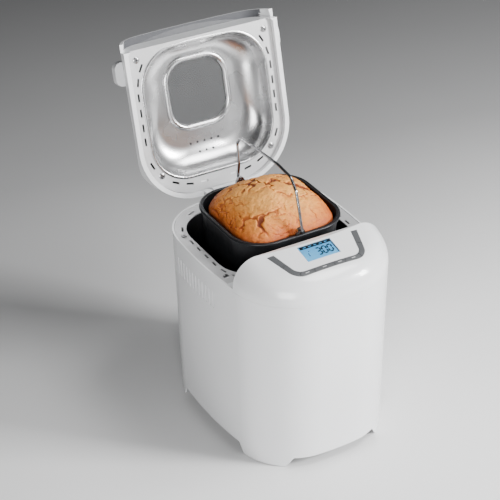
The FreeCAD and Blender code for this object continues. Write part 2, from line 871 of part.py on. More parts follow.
def drive_belt():
    """A flat belt round both pulleys, on their common tangents."""
    low = C["pulley_low"] + 1.4
    high = C["pulley_low"] + C["pulley_thick"] - 1.4

    def loop(name, grow):
        near = C["motor_pulley_radius"] + grow
        far = C["drive_pulley_radius"] + grow
        span = C["motor_forward"] + C["pan_middle"]
        lean = math.asin((far.number - near.number) / span.number)
        rear = rod(name, far, 0, C["pan_middle"], (low, high))
        front = rod(name, near, 0, -C["motor_forward"], (low, high))
        points = []
        for radius, y in ((far, C["pan_middle"]), (near, -C["motor_forward"])):
            out = radius.number * math.cos(lean), radius.number * math.sin(lean)
            points.append((out[0], y.number - out[1]))
        corners = points + [(-x, y) for x, y in reversed(points)]
        corners = [vec(x, y, low) for x, y in corners]
        flat = slab(name, corners, vec(0, 0, high - low))
        return fuse(name + "Loop", rear, front, flat)

    outer = loop("BeltOuter", C["belt_gap"] + C["belt_thick"])
    settle("drive_belt", cut("DriveBelt", outer, loop("BeltInner", C["belt_gap"])))


def drive_coupling():
    """The cross-shaped driver that stands in the oven floor."""
    low, middle = C["oven_floor"] + 1.5, C["pan_middle"]
    hub = rod("CouplingHub", 10, 0, middle, (low, low + 6))
    bars = [block("CouplingBar", (-17, 17), (middle - 3, middle + 3), (low, low + 6)),
            block("CouplingBar", (-3, 3), (middle - 17, middle + 17), (low, low + 6))]
    bore = rod("CouplingBore", C["shaft_radius"], 0, middle, (low - 5, low + 12))
    settle("drive_coupling", cut("DriveCoupling", fuse("CouplingSolid", hub, *bars), bore))


def motor():
    y = -C["motor_forward"]
    low = C["frame_level"] + C["frame_thick"] + 0.1
    can = rod("MotorCan", C["motor_radius"], 0, y, (low + 2, low + C["motor_long"]))
    face = rod("MotorFace", C["motor_radius"] - 8, 0, y, (low, low + 3))
    cap = rod("MotorCap", 10, 0, y, (low + C["motor_long"] - 1, low + C["motor_long"] + 6))
    bore = rod("MotorBore", 3.3, 0, y, (low - 5, low + 24))
    settle("motor", cut("Motor", fuse("MotorSolid", can, face, cap), bore))


def motor_shaft():
    y = -C["motor_forward"]
    top = C["frame_level"] + C["frame_thick"] + 20
    shaft = rod("MotorShaftRod", 3, 0, y, (C["pulley_low"] - 2, top))
    settle("motor_shaft", group("MotorShaft", shaft))


# ---------------------------------------------------------------- electrics


def power_board():
    span = (-C["front_reach"] + 24, -C["oven_front"] - 20)
    board = block("PowerBoardSheet", (62, 63.6), span, (85, 190))
    parts = [
        block("Relay", (63.5, 80), (span[0] + 8, span[0] + 24), (100, 124)),
        block("Fuse", (63.5, 72), (span[0] + 30, span[0] + 52), (100, 108)),
        rod_x("Capacitor", 7, (63.5, 84), span[0] + 40, 150),
    ]
    settle("power_board", fuse("PowerBoard", board, *parts))


def board_bracket():
    back = -C["oven_front"] - 7.1
    arm = block("BracketArm", (59.9, 61.9), (back - 30, back), (80, 195))
    foot = block("BracketFoot", (40, 61), (back - 2, back), (80, 195))
    settle("board_bracket", fuse("BoardBracket", arm, foot))


# ---------------------------------------------------------------- console


def sloping_arch(name, drop, half, y, length):
    """A solid whose top is the console's: arched across and sloping down to the front."""
    angle = C["slope_angle"]
    fall = sine(angle) / cosine(angle)
    radius = C["console_arch_radius"] - drop
    crest = C["slope_level"] + (C["slope_start"] + y) * fall
    low = C["seam_level"] - 60
    tip = math.sqrt(radius.number**2 - size(half).number ** 2)
    hub = crest.number - C["console_arch_radius"].number
    right = vec(half, 0, hub + tip)
    left = FreeCAD.Vector(-right.x, 0, right.z)
    foot = vec(half, 0, low)
    edges = [
        Part.LineSegment(FreeCAD.Vector(-foot.x, 0, foot.z), foot).toShape(),
        Part.LineSegment(foot, right).toShape(),
        Part.Arc(right, vec(0, 0, crest - drop), left).toShape(),
        Part.LineSegment(left, FreeCAD.Vector(-foot.x, 0, foot.z)).toShape(),
    ]
    outline = doc.addObject("Part::Feature", name + "Outline")
    outline.Shape = Part.Wire(edges)
    outline.Placement = FreeCAD.Placement(vec(0, y, 0), FreeCAD.Rotation())
    bind(outline, "Placement.Base.y", y)
    thing = doc.addObject("Part::Extrusion", name)
    thing.Base = outline
    slope = math.radians(angle.number)
    thing.Dir = FreeCAD.Vector(0, -math.cos(slope), -math.sin(slope))
    thing.DirMode = "Custom"
    thing.Solid = True
    bind(thing, "LengthFwd", size(length) / cosine(angle))
    return thing


def rounded_edges(name, solid, radius, wanted):
    """Round over the edges whose bounding boxes pass a test."""
    doc.recompute()
    chosen = []
    for i, edge in enumerate(solid.Shape.Edges, start=1):
        if wanted(edge.BoundBox):
            chosen.append((i, radius, radius))
    thing = doc.addObject("Part::Fillet", name)
    thing.Base = solid
    thing.Edges = chosen
    return thing


def console_mass(name, trim, level):
    """The console as a solid, set in from its outside by a wall."""
    reach = C["front_reach"] + 20
    low = C["seam_level"] - 40
    plan = bowed_outline(name + "Plan", low, trim)
    upright = prism(name + "Upright", plan, C["slope_level"] + 60 - low)
    arch = sloping_arch(name + "Arch", trim, C["half_width"] + 20, C["side_bow_middle"], reach * 1.3)
    brick = common(name + "Brick", upright, arch)
    back = -C["console_back"].number - trim
    side = C["half_width"].number + 30
    crown_low = C["seam_level"].number + 15

    def on_top(box):
        return box.ZMin > crown_low and box.YMin < back - 0.01 and box.XLength < 2 * side - 70

    rounded = rounded_edges(name + "Rounded", brick, C["console_round"].number - trim, on_top)
    brow = C["console_brow"].number - trim
    deep = C["brow_deep"].number
    fall = math.tan(math.radians(C["slope_angle"].number))
    hinge_z = C["slope_level"].number - trim - (deep + back * -1 - C["slope_start"].number) * fall
    bevel = [vec(-side, back + 1, brow - 0.25), vec(-side, back - deep, hinge_z),
             vec(-side, back - deep, hinge_z + 20), vec(-side, back + 1, brow + 20)]
    brow_cut = slab(name + "Brow", bevel, vec(2 * side, 0, 0))
    below = block(name + "Below", (-side, side), (-200, 100), (low - 5, level))
    behind = block(name + "Behind", (-side, side), (back, 100), (low - 5, 400))
    return cut(name, rounded, brow_cut, below, behind)


def arch_space(name, grow, y, length):
    """The level arch over the console's rear edge, which the lid's lip keeps clear of."""
    radius = C["console_arch_radius"].number
    round_off = C["console_round"].number + 10 + grow
    half = C["half_width"].number - 4 + grow
    crest = C["slope_level"].number + 0.6 + grow
    hub = crest - radius
    cx = half - round_off
    cz = hub + math.sqrt((radius - round_off) ** 2 - cx**2)
    centre = FreeCAD.Vector(cx, 0, cz)
    out = (centre - FreeCAD.Vector(0, 0, hub)).normalize()
    meet = FreeCAD.Vector(0, 0, hub) + out * radius
    tilt = math.atan2(out.z, out.x) / 2
    bend = centre + FreeCAD.Vector(math.cos(tilt), 0, math.sin(tilt)) * round_off
    side = FreeCAD.Vector(half, 0, cz)
    low = C["seam_level"].number - 30
    right = [side, bend, meet]
    left = [FreeCAD.Vector(-p.x, 0, p.z) for p in right]
    foot = FreeCAD.Vector(half, 0, low)
    far_foot = FreeCAD.Vector(-half, 0, low)
    edges = [
        Part.LineSegment(far_foot, foot).toShape(),
        Part.LineSegment(foot, side).toShape(),
        Part.Arc(*right).toShape(),
        Part.Arc(meet, FreeCAD.Vector(0, 0, crest), left[2]).toShape(),
        Part.Arc(*left[::-1]).toShape(),
        Part.LineSegment(left[0], far_foot).toShape(),
    ]
    outline = doc.addObject("Part::Feature", name + "Outline")
    outline.Shape = Part.Wire(edges)
    outline.Placement = FreeCAD.Placement(vec(0, y, 0), FreeCAD.Rotation())
    bind(outline, "Placement.Base.y", y)
    thing = doc.addObject("Part::Extrusion", name)
    thing.Base = outline
    thing.Dir = FreeCAD.Vector(0, 1, 0)
    thing.DirMode = "Custom"
    thing.Solid = True
    bind(thing, "LengthFwd", length)
    return thing


def band_outline(name, grow, level):
    """The U of keys round the display, as a straight-sided outline with rounded corners."""
    top, low = C["band_top_half"].number + grow, C["band_low_half"].number + grow
    depth = C["band_long"].number + grow
    arm, bar = C["band_arm"].number + 2 * grow, C["band_bar"].number + 2 * grow
    rise = 1.5 + grow
    lean = (top - low) / depth
    inner_low = low - arm * 0.86 + lean * bar
    inner = [(top - arm, rise), (inner_low, bar - depth)]
    outer = [(low, -depth), (top, rise)]
    half = [(x, y) for x, y in outer + inner]
    points = [vec(x, y, level) for x, y in half]
    mirrored = [vec(-x, y, level) for x, y in reversed(half)]
    return points + mirrored


def band_solid(name, grow, low, high):
    """Both arms and the bar, as one slab with its corners rounded."""
    points = band_outline(name, grow, low)
    solid = slab(name + "Slab", points, vec(0, 0, high - low))
    doc.recompute()
    outer, inner = [], []
    for i, edge in enumerate(solid.Shape.Edges, start=1):
        ends = [v.Point for v in edge.Vertexes]
        if abs(ends[0].z - ends[1].z) < 0.01:
            continue
        spot = ends[0]
        if abs(spot.y - points[0].y) < 0.01:
            outer.append(i)
        if abs(spot.y - points[3].y) < 0.01:
            inner.append(i)
    thing = doc.addObject("Part::Fillet", name)
    thing.Base = solid
    far = C["band_corner"].number + grow
    near = far - C["band_bar"].number - 2 * grow
    thing.Edges = [(i, far, far) for i in outer] + [(i, near, near) for i in inner]
    return thing


# Where the keys meet: each pair is a point outside the band and a point inside it.
KEY_DIVIDERS = [
    ((-80, -33.0), (-40, -14.0)),
    ((-52, -57.0), (-41, -30.0)),
    ((-26, -60.0), (-26, -35.0)),
    ((5, -60.0), (5, -35.0)),
    ((22, -60.0), (22, -35.0)),
    ((52, -57.0), (41, -30.0)),
    ((80, -33.0), (40, -14.0)),
]
KEY_NAMES = ["key_menu", "key_time_up", "key_time_down", "key_loaf_size", "key_crust",
             "key_light", "key_start_stop"]


def on_panel(thing):
    """Tilt a shape drawn flat so that it lies along the console's sloping face."""
    angle = C["slope_angle"]
    place_at(thing, 0, -C["slope_start"], C["slope_level"], FreeCAD.Vector(1, 0, 0), angle.number)
    bind(thing, "Placement.Rotation.Angle", angle)
    return thing


def keys():
    """The band cut into its fixed left arm and the keys, with a gap between neighbours."""
    proud, thick = C["key_proud"].number, C["key_thick"].number
    level = C["seam_level"] - 10
    skin = cut("KeySkin", console_mass("KeyOuter", -proud, level),
               console_mass("KeyInner", thick - proud, level - 5))
    low, high = -14, 10
    gap = C["key_gap"].number / 2
    top = [((-90, 12), (-20, 12))] + KEY_DIVIDERS + [((90, 12), (20, 12))]
    labels = ["key_trim"] + KEY_NAMES
    for label, first, last in zip(labels, top, top[1:]):
        corners = []
        for (outside, inside), way in ((first, 1), (last, -1)):
            a, b = FreeCAD.Vector(*outside, low - 1), FreeCAD.Vector(*inside, low - 1)
            along = (b - a).normalize()
            shift = FreeCAD.Vector(-along.y, along.x, 0) * (-gap * way)
            ends = [a + shift, b + shift]
            corners += ends if way > 0 else ends[::-1]
        wedge = slab(label + "Wedge", corners, vec(0, 0, high - low + 2))
        column = common(label + "Column", band_solid(label + "Band", 0, low, high), wedge)
        settle(label, common(label + "Key", skin, on_panel(column)))


def console_shell():
    """The white console with its ledge, cut for the display and the keys."""
    seam = C["seam_level"]
    outer = console_mass("ConsoleOuter", 0, seam + 0.05)
    inner = console_mass("ConsoleInner", C["shell_wall"].number, seam - 5)
    hollow = cut("ConsoleHollow", outer, inner)
    low = C["deck_level"] - C["deck_thick"]
    inset = C["shell_wall"] + C["deck_gap"]
    sheet_plan = bowed_outline("LedgePlan", low, inset)
    ledge_sheet = prism("LedgeSheet", sheet_plan, C["deck_thick"])
    reach = C["half_width"] + 5
    span = (-C["console_back"] - 1, -C["deck_front"] - 0.3)
    keep = block("LedgeKeep", (-reach, reach), span, (low - 1, low + 6))
    hole = prism("LedgeHole", oven_outline("LedgeHoleOutline", low - 1, 0), C["deck_thick"] + 2)
    ledge = cut("Ledge", common("LedgeStrip", ledge_sheet, keep), hole)
    solid = fuse("ConsoleSolid", hollow, ledge)
    fit = C["key_fit"].number
    openings = [band_solid("BandOpening", fit, -16, 10)]
    half = C["display_half"] + 0.3
    span = (-C["display_long"] - 0.3, 0.3)
    openings.append(block("DisplayOpening", (-half, half), span, (-12, 8)))
    tools = on_panel(group("ConsoleOpenings", *openings))
    settle("console_shell", cut("ConsoleShell", solid, tools))


def display():
    half, long = C["display_half"], C["display_long"]
    thick = C["display_thick"]
    cover = block("DisplayCover", (-half, half), (-long, 0), (0.2 - thick, 0.2))
    settle("lcd_window", group("DisplayWindow", cover), "panel")
    glass = block("DisplayGlass", (1 - half, half - 1), (1 - long, -1), (-4.2, 0.1 - thick))
    tray = block("DisplayTray", (-half, half), (-long, 0), (-7, -4.1))
    settle("lcd_module", fuse("DisplayModule", glass, tray), "panel")


def control_board():
    sheet_block = block("ControlSheet", (-60, 60), (-47, 6), (-10.4, -8.8))
    chip = block("ControlChip", (-10, 10), (-30, -12), (-12.4, -10.3))
    settle("control_board", fuse("ControlBoard", sheet_block, chip), "panel")


def key_switches():
    """One small switch under the middle of each key."""
    spots = [(-55, -34), (-38, -45), (-10, -45), (13.5, -45), (36, -45), (55, -34), (62, -11)]
    clear = C["key_proud"] - C["key_thick"] - C["key_travel"] - 0.35
    switches = []
    for x, y in spots:
        top = clear - size((abs(x) + 2) ** 2) / (C["console_arch_radius"] * 2)
        case = block("SwitchCase", (x - 3, x + 3), (y - 3, y + 3), (-8.8, top - 1))
        stem = rod("SwitchStem", 1.6, x, y, (top - 2, top))
        switches.append(fuse("Switch", case, stem))
    settle("key_switches", group("KeySwitches", *switches), "panel")


# ---------------------------------------------------------------- hinge


def hinge_block():
    """The fixed half of the hinge, screwed to the rear wall."""
    half = C["hinge_block_half"]
    y, z = C["hinge_back"], C["hinge_level"]
    wall = C["rear_reach"] + 0.3
    barrel = rod_x("HingeBarrel", C["hinge_block_radius"], (-half, half), y, z)
    web = block("HingeWeb", (-half, half), (wall, y + 7), (z - 20, z - 3))
    trim = block("HingeTrim", (-half - 1, half + 1), (y - 20, wall), (z - 12, z + 12))
    bore = rod_x("HingeBore", C["hinge_pin_radius"], (-half - 1, half + 1), y, z)
    settle("hinge_block", cut("HingeBlock", fuse("HingeSolid", barrel, web), trim, bore))


def hinge_pin():
    half = C["knuckle_outer"] + 1
    y, z = C["hinge_back"], C["hinge_level"]
    rod_shape = rod_x("HingeRod", C["hinge_pin_radius"], (-half, half), y, z)
    settle("hinge_pin", group("HingePin", rod_shape))


def lid_hinge_bracket():
    """The moving half of the hinge: two knuckles under a plate inside the lid."""
    y, z = C["hinge_back"], C["hinge_level"]
    inner, outer = C["hinge_block_half"] + 0.5, C["knuckle_outer"]
    level = C["liner_level"] + C["liner_thick"] + 0.2
    pieces = [block("BracketPlate", (-outer, outer), (y - 32, y - 6), (level, level + 2))]
    for side in BOTH:
        x = (inner, outer) if side > 0 else (-outer, -inner)
        pieces.append(rod_x("Knuckle", C["knuckle_radius"], x, y, z))
        pieces.append(block("KnuckleArm", x, (y - 7.9, y), (z + 1, level + 1)))
    bore_radius = C["hinge_pin_radius"] + C["pin_clearance"]
    bore = rod_x("KnuckleBore", bore_radius, (-outer - 1, outer + 1), y, z)
    solid = fuse("BracketSolid", *pieces)
    settle("lid_hinge_bracket", cut("LidHingeBracket", solid, bore), "lid")


# ---------------------------------------------------------------- lid

LID_SCREWS = [(104.4, -56), (92, 121)]


def dome_outline(name, level, inset):
    half = C["dome_half"] - inset
    corner = C["dome_corner"] - inset * 0.5
    front, rear = inset - C["dome_front"], C["dome_rear"] - inset
    return rounded_outline(name, level, half, front, rear, corner, corner)


def window_outline(name, level, grow):
    half, corner = C["window_half"] + grow, C["window_corner"] + grow
    front, rear = -C["window_front"] - grow, C["window_rear"] + grow
    return rounded_outline(name, level, half, front, rear, corner, corner)


def rounded_top(name, solid, level, radius):
    """Round over the edges of a solid that lie in one level plane."""
    return rounded_edges(name, solid, radius,
                         lambda box: abs(box.ZMin - level) < 0.01 and abs(box.ZMax - level) < 0.01)


def dome_solid(name, grow):
    """The drawn dome as a solid, tapering upwards to a rounded flat."""
    low = C["liner_level"]
    top = C["dome_top"] + grow
    foot = dome_outline(name + "Foot", low, -grow)
    head = dome_outline(name + "Head", top, C["dome_draft"] - grow)
    body = loft(name + "Loft", foot, head)
    return rounded_top(name, body, top.number, 14 + size(grow).number)


def vent_holes():
    """Steam holes through the flat of the dome, in two rows."""
    level = C["dome_top"]
    spots = [(11.6 * i, 95.7) for i in range(-2, 3)]
    spots += [(11.4 * i, 110) for i in range(-1, 2)]
    return [rod("SteamHole", 1.6, x, y, (level - 6, level + 6)) for x, y in spots]


def window_bezel():
    """The pressed bead round the window, standing in from the dome's flat."""
    level = C["dome_top"] - C["bezel_high"]
    plan = window_outline("BezelPlan", level, C["bezel_wide"])
    blank = prism("BezelBlank", plan, C["bezel_high"] + C["sheet_wall"])
    hole = prism("BezelHole", window_outline("BezelHolePlan", level - 1, 0), 12)
    bead = rounded_top("BezelBead", cut("BezelRing", blank, hole), level.number,
                       C["bezel_high"].number - 0.2)
    return common("Bezel", bead, dome_solid("BezelLimit", C["sheet_wall"].number))


def dome_flange():
    """The rolled edge of the dome, which lies on the liner's face."""
    wall, thick, low = C["sheet_wall"], C["flange_thick"], C["liner_level"] - C["flange_thick"]
    reach = wall + C["flange_wide"]
    rim = prism("FlangeRim", dome_outline("FlangePlan", low, -reach), thick - 0.02)
    neck = prism("FlangeNeck", dome_outline("NeckPlan", low, -wall), thick + 0.4)
    opening = prism("FlangeOpening", dome_outline("FlangeOpeningPlan", low - 1, 0), thick + 2)
    return cut("DomeFlange", fuse("FlangeSolid", rim, neck), opening)


def lid_dome():
    wall = C["sheet_wall"].number
    skin = cut("DomeSkin", dome_solid("DomeOuter", wall), dome_solid("DomeInner", 0))
    solid = fuse("DomeSolid", skin, window_bezel(), dome_flange())
    plan = window_outline("DomeWindowPlan", C["dome_top"] - 5, 0)
    window = prism("DomeWindowHole", plan, 12)
    settle("lid_dome", cut("LidDome", solid, window, *vent_holes()), "lid")


def lid_liner():
    """The flat plate round the dome, with the same air slots as the deck."""
    low, thick = C["liner_level"], C["liner_thick"]
    half, corner = C["liner_half"], C["liner_corner"]
    outline = rounded_outline("LinerPlan", low, half, -C["liner_front"], C["liner_rear"], 6, corner)
    plate = prism("LinerSheet", outline, thick)
    dome_wall = C["sheet_wall"] + 0.1
    hole = prism("LinerHole", dome_outline("LinerHolePlan", low - 1, -dome_wall), thick + 2)
    tools = [hole] + slot_ring("LinerSlot", low - 1, low + 4)
    tools += screw_holes("LidScrewHole", LID_SCREWS, 2.3, low - 1, low + 4)
    settle("lid_liner", cut("LidLiner", plate, *tools), "lid")


def lid_screws():
    low = C["liner_level"]
    screws = []
    for x, y in LID_SCREWS:
        for side in BOTH:
            head = rod("LidScrewHead", 4.8, side * x, y, (low - 1.8, low - 0.02))
            shank = rod("LidScrewShank", 2.0, side * x, y, (low - 1, low + 7))
            screws.append(fuse("LidScrew", head, shank))
    settle("lid_screws", group("LidScrews", *screws), "lid")


def lid_mass(name, inset, low, top, radius):
    """The lid's outside as a solid: arched from side to side, with a rounded rear edge."""
    half, corner = C["lid_half"] - inset, C["lid_rear_corner"] - inset
    front, rear = inset - C["lip_reach"], C["lid_rear"] - inset
    plan = rounded_outline(name + "Plan", low, half, front - radius * 2, rear, 14 - inset, corner)
    solid = prism(name + "Prism", plan, top - low)
    rounded = rounded_top(name + "Rounded", solid, size(top).number, radius)
    arch = arch_space(name + "Arch", C["lid_over_console"].number - inset, front, rear - front + 5)
    return common(name, rounded, arch)


def lip_space():
    """What the lid's front lip leaves free above and beside the console's rear edge."""
    y = -C["lip_reach"] - 20
    seam = C["seam_level"]
    console = console_mass("LipConsole", -C["lip_gap"].number, seam)
    reach = C["half_width"] + 20
    region = block("LipRegion", (-reach, reach), (y, -C["liner_front"]), (seam, C["lid_top"] + 5))
    arch = common("LipArch", console, region)
    corners = []
    for side in BOTH:
        inner, outer = C["half_width"] - 9, C["half_width"] + 20
        x = (inner, outer) if side > 0 else (-outer, -inner)
        corners.append(block("LipCorner", x, (y, -C["liner_front"]), (240, 292)))
    return [arch] + corners


GRIP_SPAN = (298, 309)


def lid_grips():
    """A rounded finger grip at each front corner of the lid."""
    grips = []
    for side in BOTH:
        inner, outer = C["lid_half"] - 16, C["grip_reach"] - 10
        x = (inner, outer) if side > 0 else (-outer, -inner)
        tab = block("GripTab", x, (-56, -21), GRIP_SPAN)
        tip = outer if side > 0 else -outer
        ends = [rod("GripEnd", 10, tip, y, GRIP_SPAN) for y in (-46, -31)]
        middle = block("GripMiddle", (tip, tip + side * 10) if side > 0 else (tip - 10, tip),
                       (-46, -31), GRIP_SPAN)
        grips += [tab, middle] + ends
    return grips


def lid_shell():
    wall = C["lid_wall"].number
    low, top = C["lid_skirt"], C["lid_top"]
    round_over = C["lid_edge_round"].number
    outer = lid_mass("LidOuter", 0, low, top, round_over)
    solid = fuse("LidOuterSolid", outer, *lid_grips())
    inner_front = wall - C["liner_front"]
    ledge = C["liner_level"] + C["liner_thick"] + 0.2
    inner = lid_mass("LidInner", wall, ledge, top - wall, round_over - wall)
    reach = C["half_width"] + 20
    behind = block("LidInnerKeep", (-reach, reach), (inner_front, 300), (200, 400))
    tools = [common("LidCavity", inner, behind)] + lip_space()
    liner_seat = rounded_outline("LinerSeatPlan", low - 5, C["liner_half"] + 0.3,
                                 -C["liner_front"] - 0.05, C["liner_rear"] + 0.3, 6, C["liner_corner"])
    tools.append(prism("LinerSeat", liner_seat, C["liner_level"] + C["liner_thick"] + 0.2 - low + 5))
    window = prism("LidWindowHole", window_outline("LidWindowPlan", top - 8, 1.5), 15)
    notch_half = C["knuckle_outer"] + 1.6
    notch = block("HingeNotch", (-notch_half, notch_half), (150, 300), (low - 5, 293.5))
    settle("lid_shell", cut("LidShell", solid, window, notch, *tools), "lid")


def lid_windows():
    """An inner pane under the dome's window and an outer pane in the lid's skin."""
    level = C["dome_top"] + C["sheet_wall"] + 0.1
    inner = prism("InnerPane", window_outline("InnerPanePlan", level, 3), 0.9)
    settle("inner_window", group("InnerWindow", inner), "lid")
    top = C["lid_top"] - 1.4
    outer = prism("OuterPane", window_outline("OuterPanePlan", top - 2, 1.2), 2)
    settle("outer_window", group("OuterWindow", outer), "lid")


# ---------------------------------------------------------------- pan


def pan_outline(name, level, half, owner=None):
    middle = C["pan_middle"]
    corner = C["pan_corner"] - (C["pan_half"] - half)
    return rounded_outline(name, level, half, middle - half, middle + half, corner, corner, owner)


def pan_body():
    """The pan: a tapering tub with a rolled rim."""
    body = doc.addObject("PartDesign::Body", "PanTub")
    wall = C["pan_wall"]
    floor, rim = C["pan_floor"], C["pan_rim"]
    tub = body.newObject("PartDesign::AdditiveLoft", "PanOuter")
    tub.Profile = pan_outline("PanFoot", floor, C["pan_low_half"], body)
    tub.Sections = [pan_outline("PanTop", rim, C["pan_half"], body)]
    doc.recompute()
    roll = body.newObject("PartDesign::Pad", "PanRoll")
    roll.Profile = pan_outline("PanRollPlan", rim - C["rim_roll"], C["rim_half"], body)
    bind(roll, "Length", C["rim_roll"])
    doc.recompute()
    hollow = body.newObject("PartDesign::SubtractiveLoft", "PanHollow")
    hollow.Profile = pan_outline("PanHollowFoot", floor + wall, C["pan_low_half"] - wall, body)
    hollow.Sections = [pan_outline("PanHollowTop", rim, C["pan_half"] - wall, body)]
    doc.recompute()
    plan = new_sketch("PanShaftPlan", floor - 1, body)
    plan.addGeometry(Part.Circle(vec(0, C["pan_middle"]), FreeCAD.Vector(0, 0, 1), 7.0), False)
    held = plan.addConstraint(Sketcher.Constraint("Radius", 0, 7.0))
    bind(plan, f"Constraints[{held}]", SEAL_RADIUS)
    pin_point(plan, 0, 3, 0, C["pan_middle"])
    doc.recompute()
    hole = body.newObject("PartDesign::Pocket", "PanShaftHole")
    hole.Profile = plan
    hole.Reversed = True
    bind(hole, "Length", wall + 3)
    settle("pan_body", body, "pan")


SEAL_RADIUS = 7.0


def pan_base():
    """The short skirt under the pan that drops into the seat."""
    middle = C["pan_middle"]
    low, high = C["oven_floor"] + 4, C["pan_floor"] - 0.05
    outer = rod("SkirtOuter", 40, 0, middle, (low, high))
    inner = rod("SkirtInner", 38, 0, middle, (low - 5, high - 2))
    hole = rod("SkirtHole", SEAL_RADIUS + 0.2, 0, middle, (low - 5, high + 5))
    lugs = []
    for i in range(4):
        turn = math.radians(45 + 90 * i)
        x, y = 40.5 * math.cos(turn), middle + 40.5 * math.sin(turn)
        lugs.append(rod("SkirtLug", 1.7, x, y, (low + 1, low + 6)))
    settle("pan_base", cut("PanBase", fuse("SkirtSolid", outer, *lugs), inner, hole), "pan")


def shaft_seal():
    """The bush and lip seal that the paddle's shaft turns in."""
    middle = C["pan_middle"]
    floor = C["pan_floor"]
    barrel = rod("SealBarrel", SEAL_RADIUS - 0.05, 0, middle, (floor - 8, floor + C["pan_wall"] + 1.2))
    flange = rod("SealFlange", 12, 0, middle, (floor - 8, floor - 2.2))
    bore_radius = C["paddle_shaft_radius"] + C["shaft_clearance"]
    bore = rod("SealBore", bore_radius, 0, middle, (floor - 20, floor + 20))
    settle("shaft_seal", cut("ShaftSeal", fuse("SealSolid", barrel, flange), bore), "pan")


def paddle_parts():
    """The paddle, its shaft and the driven half of the coupling."""
    middle, floor = C["pan_middle"], C["pan_floor"]
    radius = C["paddle_shaft_radius"]
    low = C["oven_floor"] + 9
    shaft = rod("PaddleShaftRod", radius, 0, middle, (low + 1, floor + 20))
    settle("paddle_shaft", group("PaddleShaft", shaft), "pan")
    hub = rod("DrivenHub", 9, 0, middle, (low, low + 5))
    bar = block("DrivenBar", (-15, 15), (middle - 3.2, middle + 3.2), (low, low + 5))
    bore = rod("DrivenBore", radius, 0, middle, (low + 1, low + 12))
    settle("pan_coupling", cut("PanCoupling", fuse("DrivenSolid", hub, bar), bore), "pan")
    base = floor + C["pan_wall"] + 1.5
    reach = C["paddle_reach"]
    collar = rod("PaddleHub", 8.5, 0, middle, (base, base + 20))
    blade = block("PaddleBlade", (0, reach), (middle - 3, middle + 3), (base, base + 13))
    heel = block("PaddleHeel", (-16, 0), (middle - 4, middle + 4), (base, base + 7))
    hole = rod("PaddleBore", radius, 0, middle, (base - 5, floor + 20.05))
    settle("kneading_paddle", cut("KneadingPaddle", fuse("PaddleSolid", collar, blade, heel), hole),
           "pan")


# The crown's width at shares of its height, both as shares of the whole.
LOAF_CROWN = [(0.25, 0.94), (0.5, 0.82), (0.75, 0.62), (0.92, 0.37), (1.0, 0.14)]


def bread_loaf():
    """The loaf in the pan, with a risen crown and the hollow that the paddle leaves."""
    fit = C["pan_wall"] + C["loaf_fit"]
    floor, edge = C["pan_floor"] + fit, C["pan_rim"] - C["loaf_sink"]
    low, high = C["pan_low_half"] - fit, C["pan_half"] - C["pan_wall"] - C["loaf_set_in"]
    middle = C["pan_middle"]
    front = middle - C["loaf_forward"]
    corner = C["pan_corner"] - C["pan_wall"] - C["loaf_set_in"]
    foot = pan_outline("LoafFoot", floor, low)
    brim = rounded_outline("LoafBrim", edge, high, front - high, front + high, corner, corner)
    crumb = loft("LoafCrumb", foot, brim)
    rise = C["loaf_rise"] + C["loaf_sink"]
    layers = [brim]
    for share, width in LOAF_CROWN:
        half, bend = high * width, corner * width
        layers.append(rounded_outline("LoafLayer", edge + rise * share, half, front - half,
                                      front + half, bend, bend))
    crown = loft("LoafCrown", *layers)
    pocket_radius = C["paddle_reach"] + 2
    pocket = rod("LoafPocket", pocket_radius, 0, C["pan_middle"], (floor - 5, floor + 28))
    settle("bread_loaf", cut("BreadLoaf", fuse("LoafSolid", crumb, crown), pocket), "pan")


CLIP_DEEP = 4.6


def clip_spans():
    """Front-to-rear extents of the two clips that stand on the rim."""
    middle, half = C["pan_middle"], C["rim_half"]
    front = (middle - half + 0.2, middle - half + 0.2 + CLIP_DEEP)
    rear = (middle + half - 0.2 - CLIP_DEEP, middle + half - 0.2)
    return front, rear


def handle_clips():
    """A clip on the front rim and one on the rear rim, bored for the bail's ends."""
    axis, rim = C["bail_axis"], C["pan_rim"]
    bore = C["bail_radius"] + C["bail_clearance"]
    clips = []
    for span in clip_spans():
        foot = block("ClipFoot", (-7, 7), span, (rim + 0.05, axis))
        head = rod_y("ClipHead", 6, 0, span, axis)
        below = block("ClipBelow", (-10, 10), (span[0] - 1, span[1] + 1), (axis - 10, rim + 0.05))
        hole = rod_y("ClipBore", bore, 0, (span[0] - 5, span[1] + 5), axis)
        clips.append(cut("Clip", fuse("ClipSolid", foot, head), below, hole))
    settle("handle_clips", group("HandleClips", *clips), "pan")


def bail_handle():
    """The wire bail: it leaves both clips outwards, rises and crosses over the loaf."""
    axis, rise = C["bail_axis"].number, C["bail_rise"].number
    front, rear = clip_spans()
    inside, outside = front[1].number + 0.6, front[0].number - 4.0
    far_in, far_out = rear[0].number - 0.6, rear[1].number + 4.0
    profile = [
        (inside, 0), (outside, 0), (outside + 10, rise * 0.47), (outside + 17, rise * 0.75),
        (outside + 31, rise * 0.955), (outside + 66, rise), (far_out - 50, rise * 0.965),
        (far_out - 10, rise * 0.91), (far_out, rise * 0.76), (far_out - 4, rise * 0.36),
        (far_out, 0), (far_in, 0),
    ]
    points = [FreeCAD.Vector(0, y, axis + z) for y, z in profile]
    settle("bail_handle", tube("BailHandle", points, C["bail_radius"], 9), "pan")


# ---------------------------------------------------------------- build, check and write

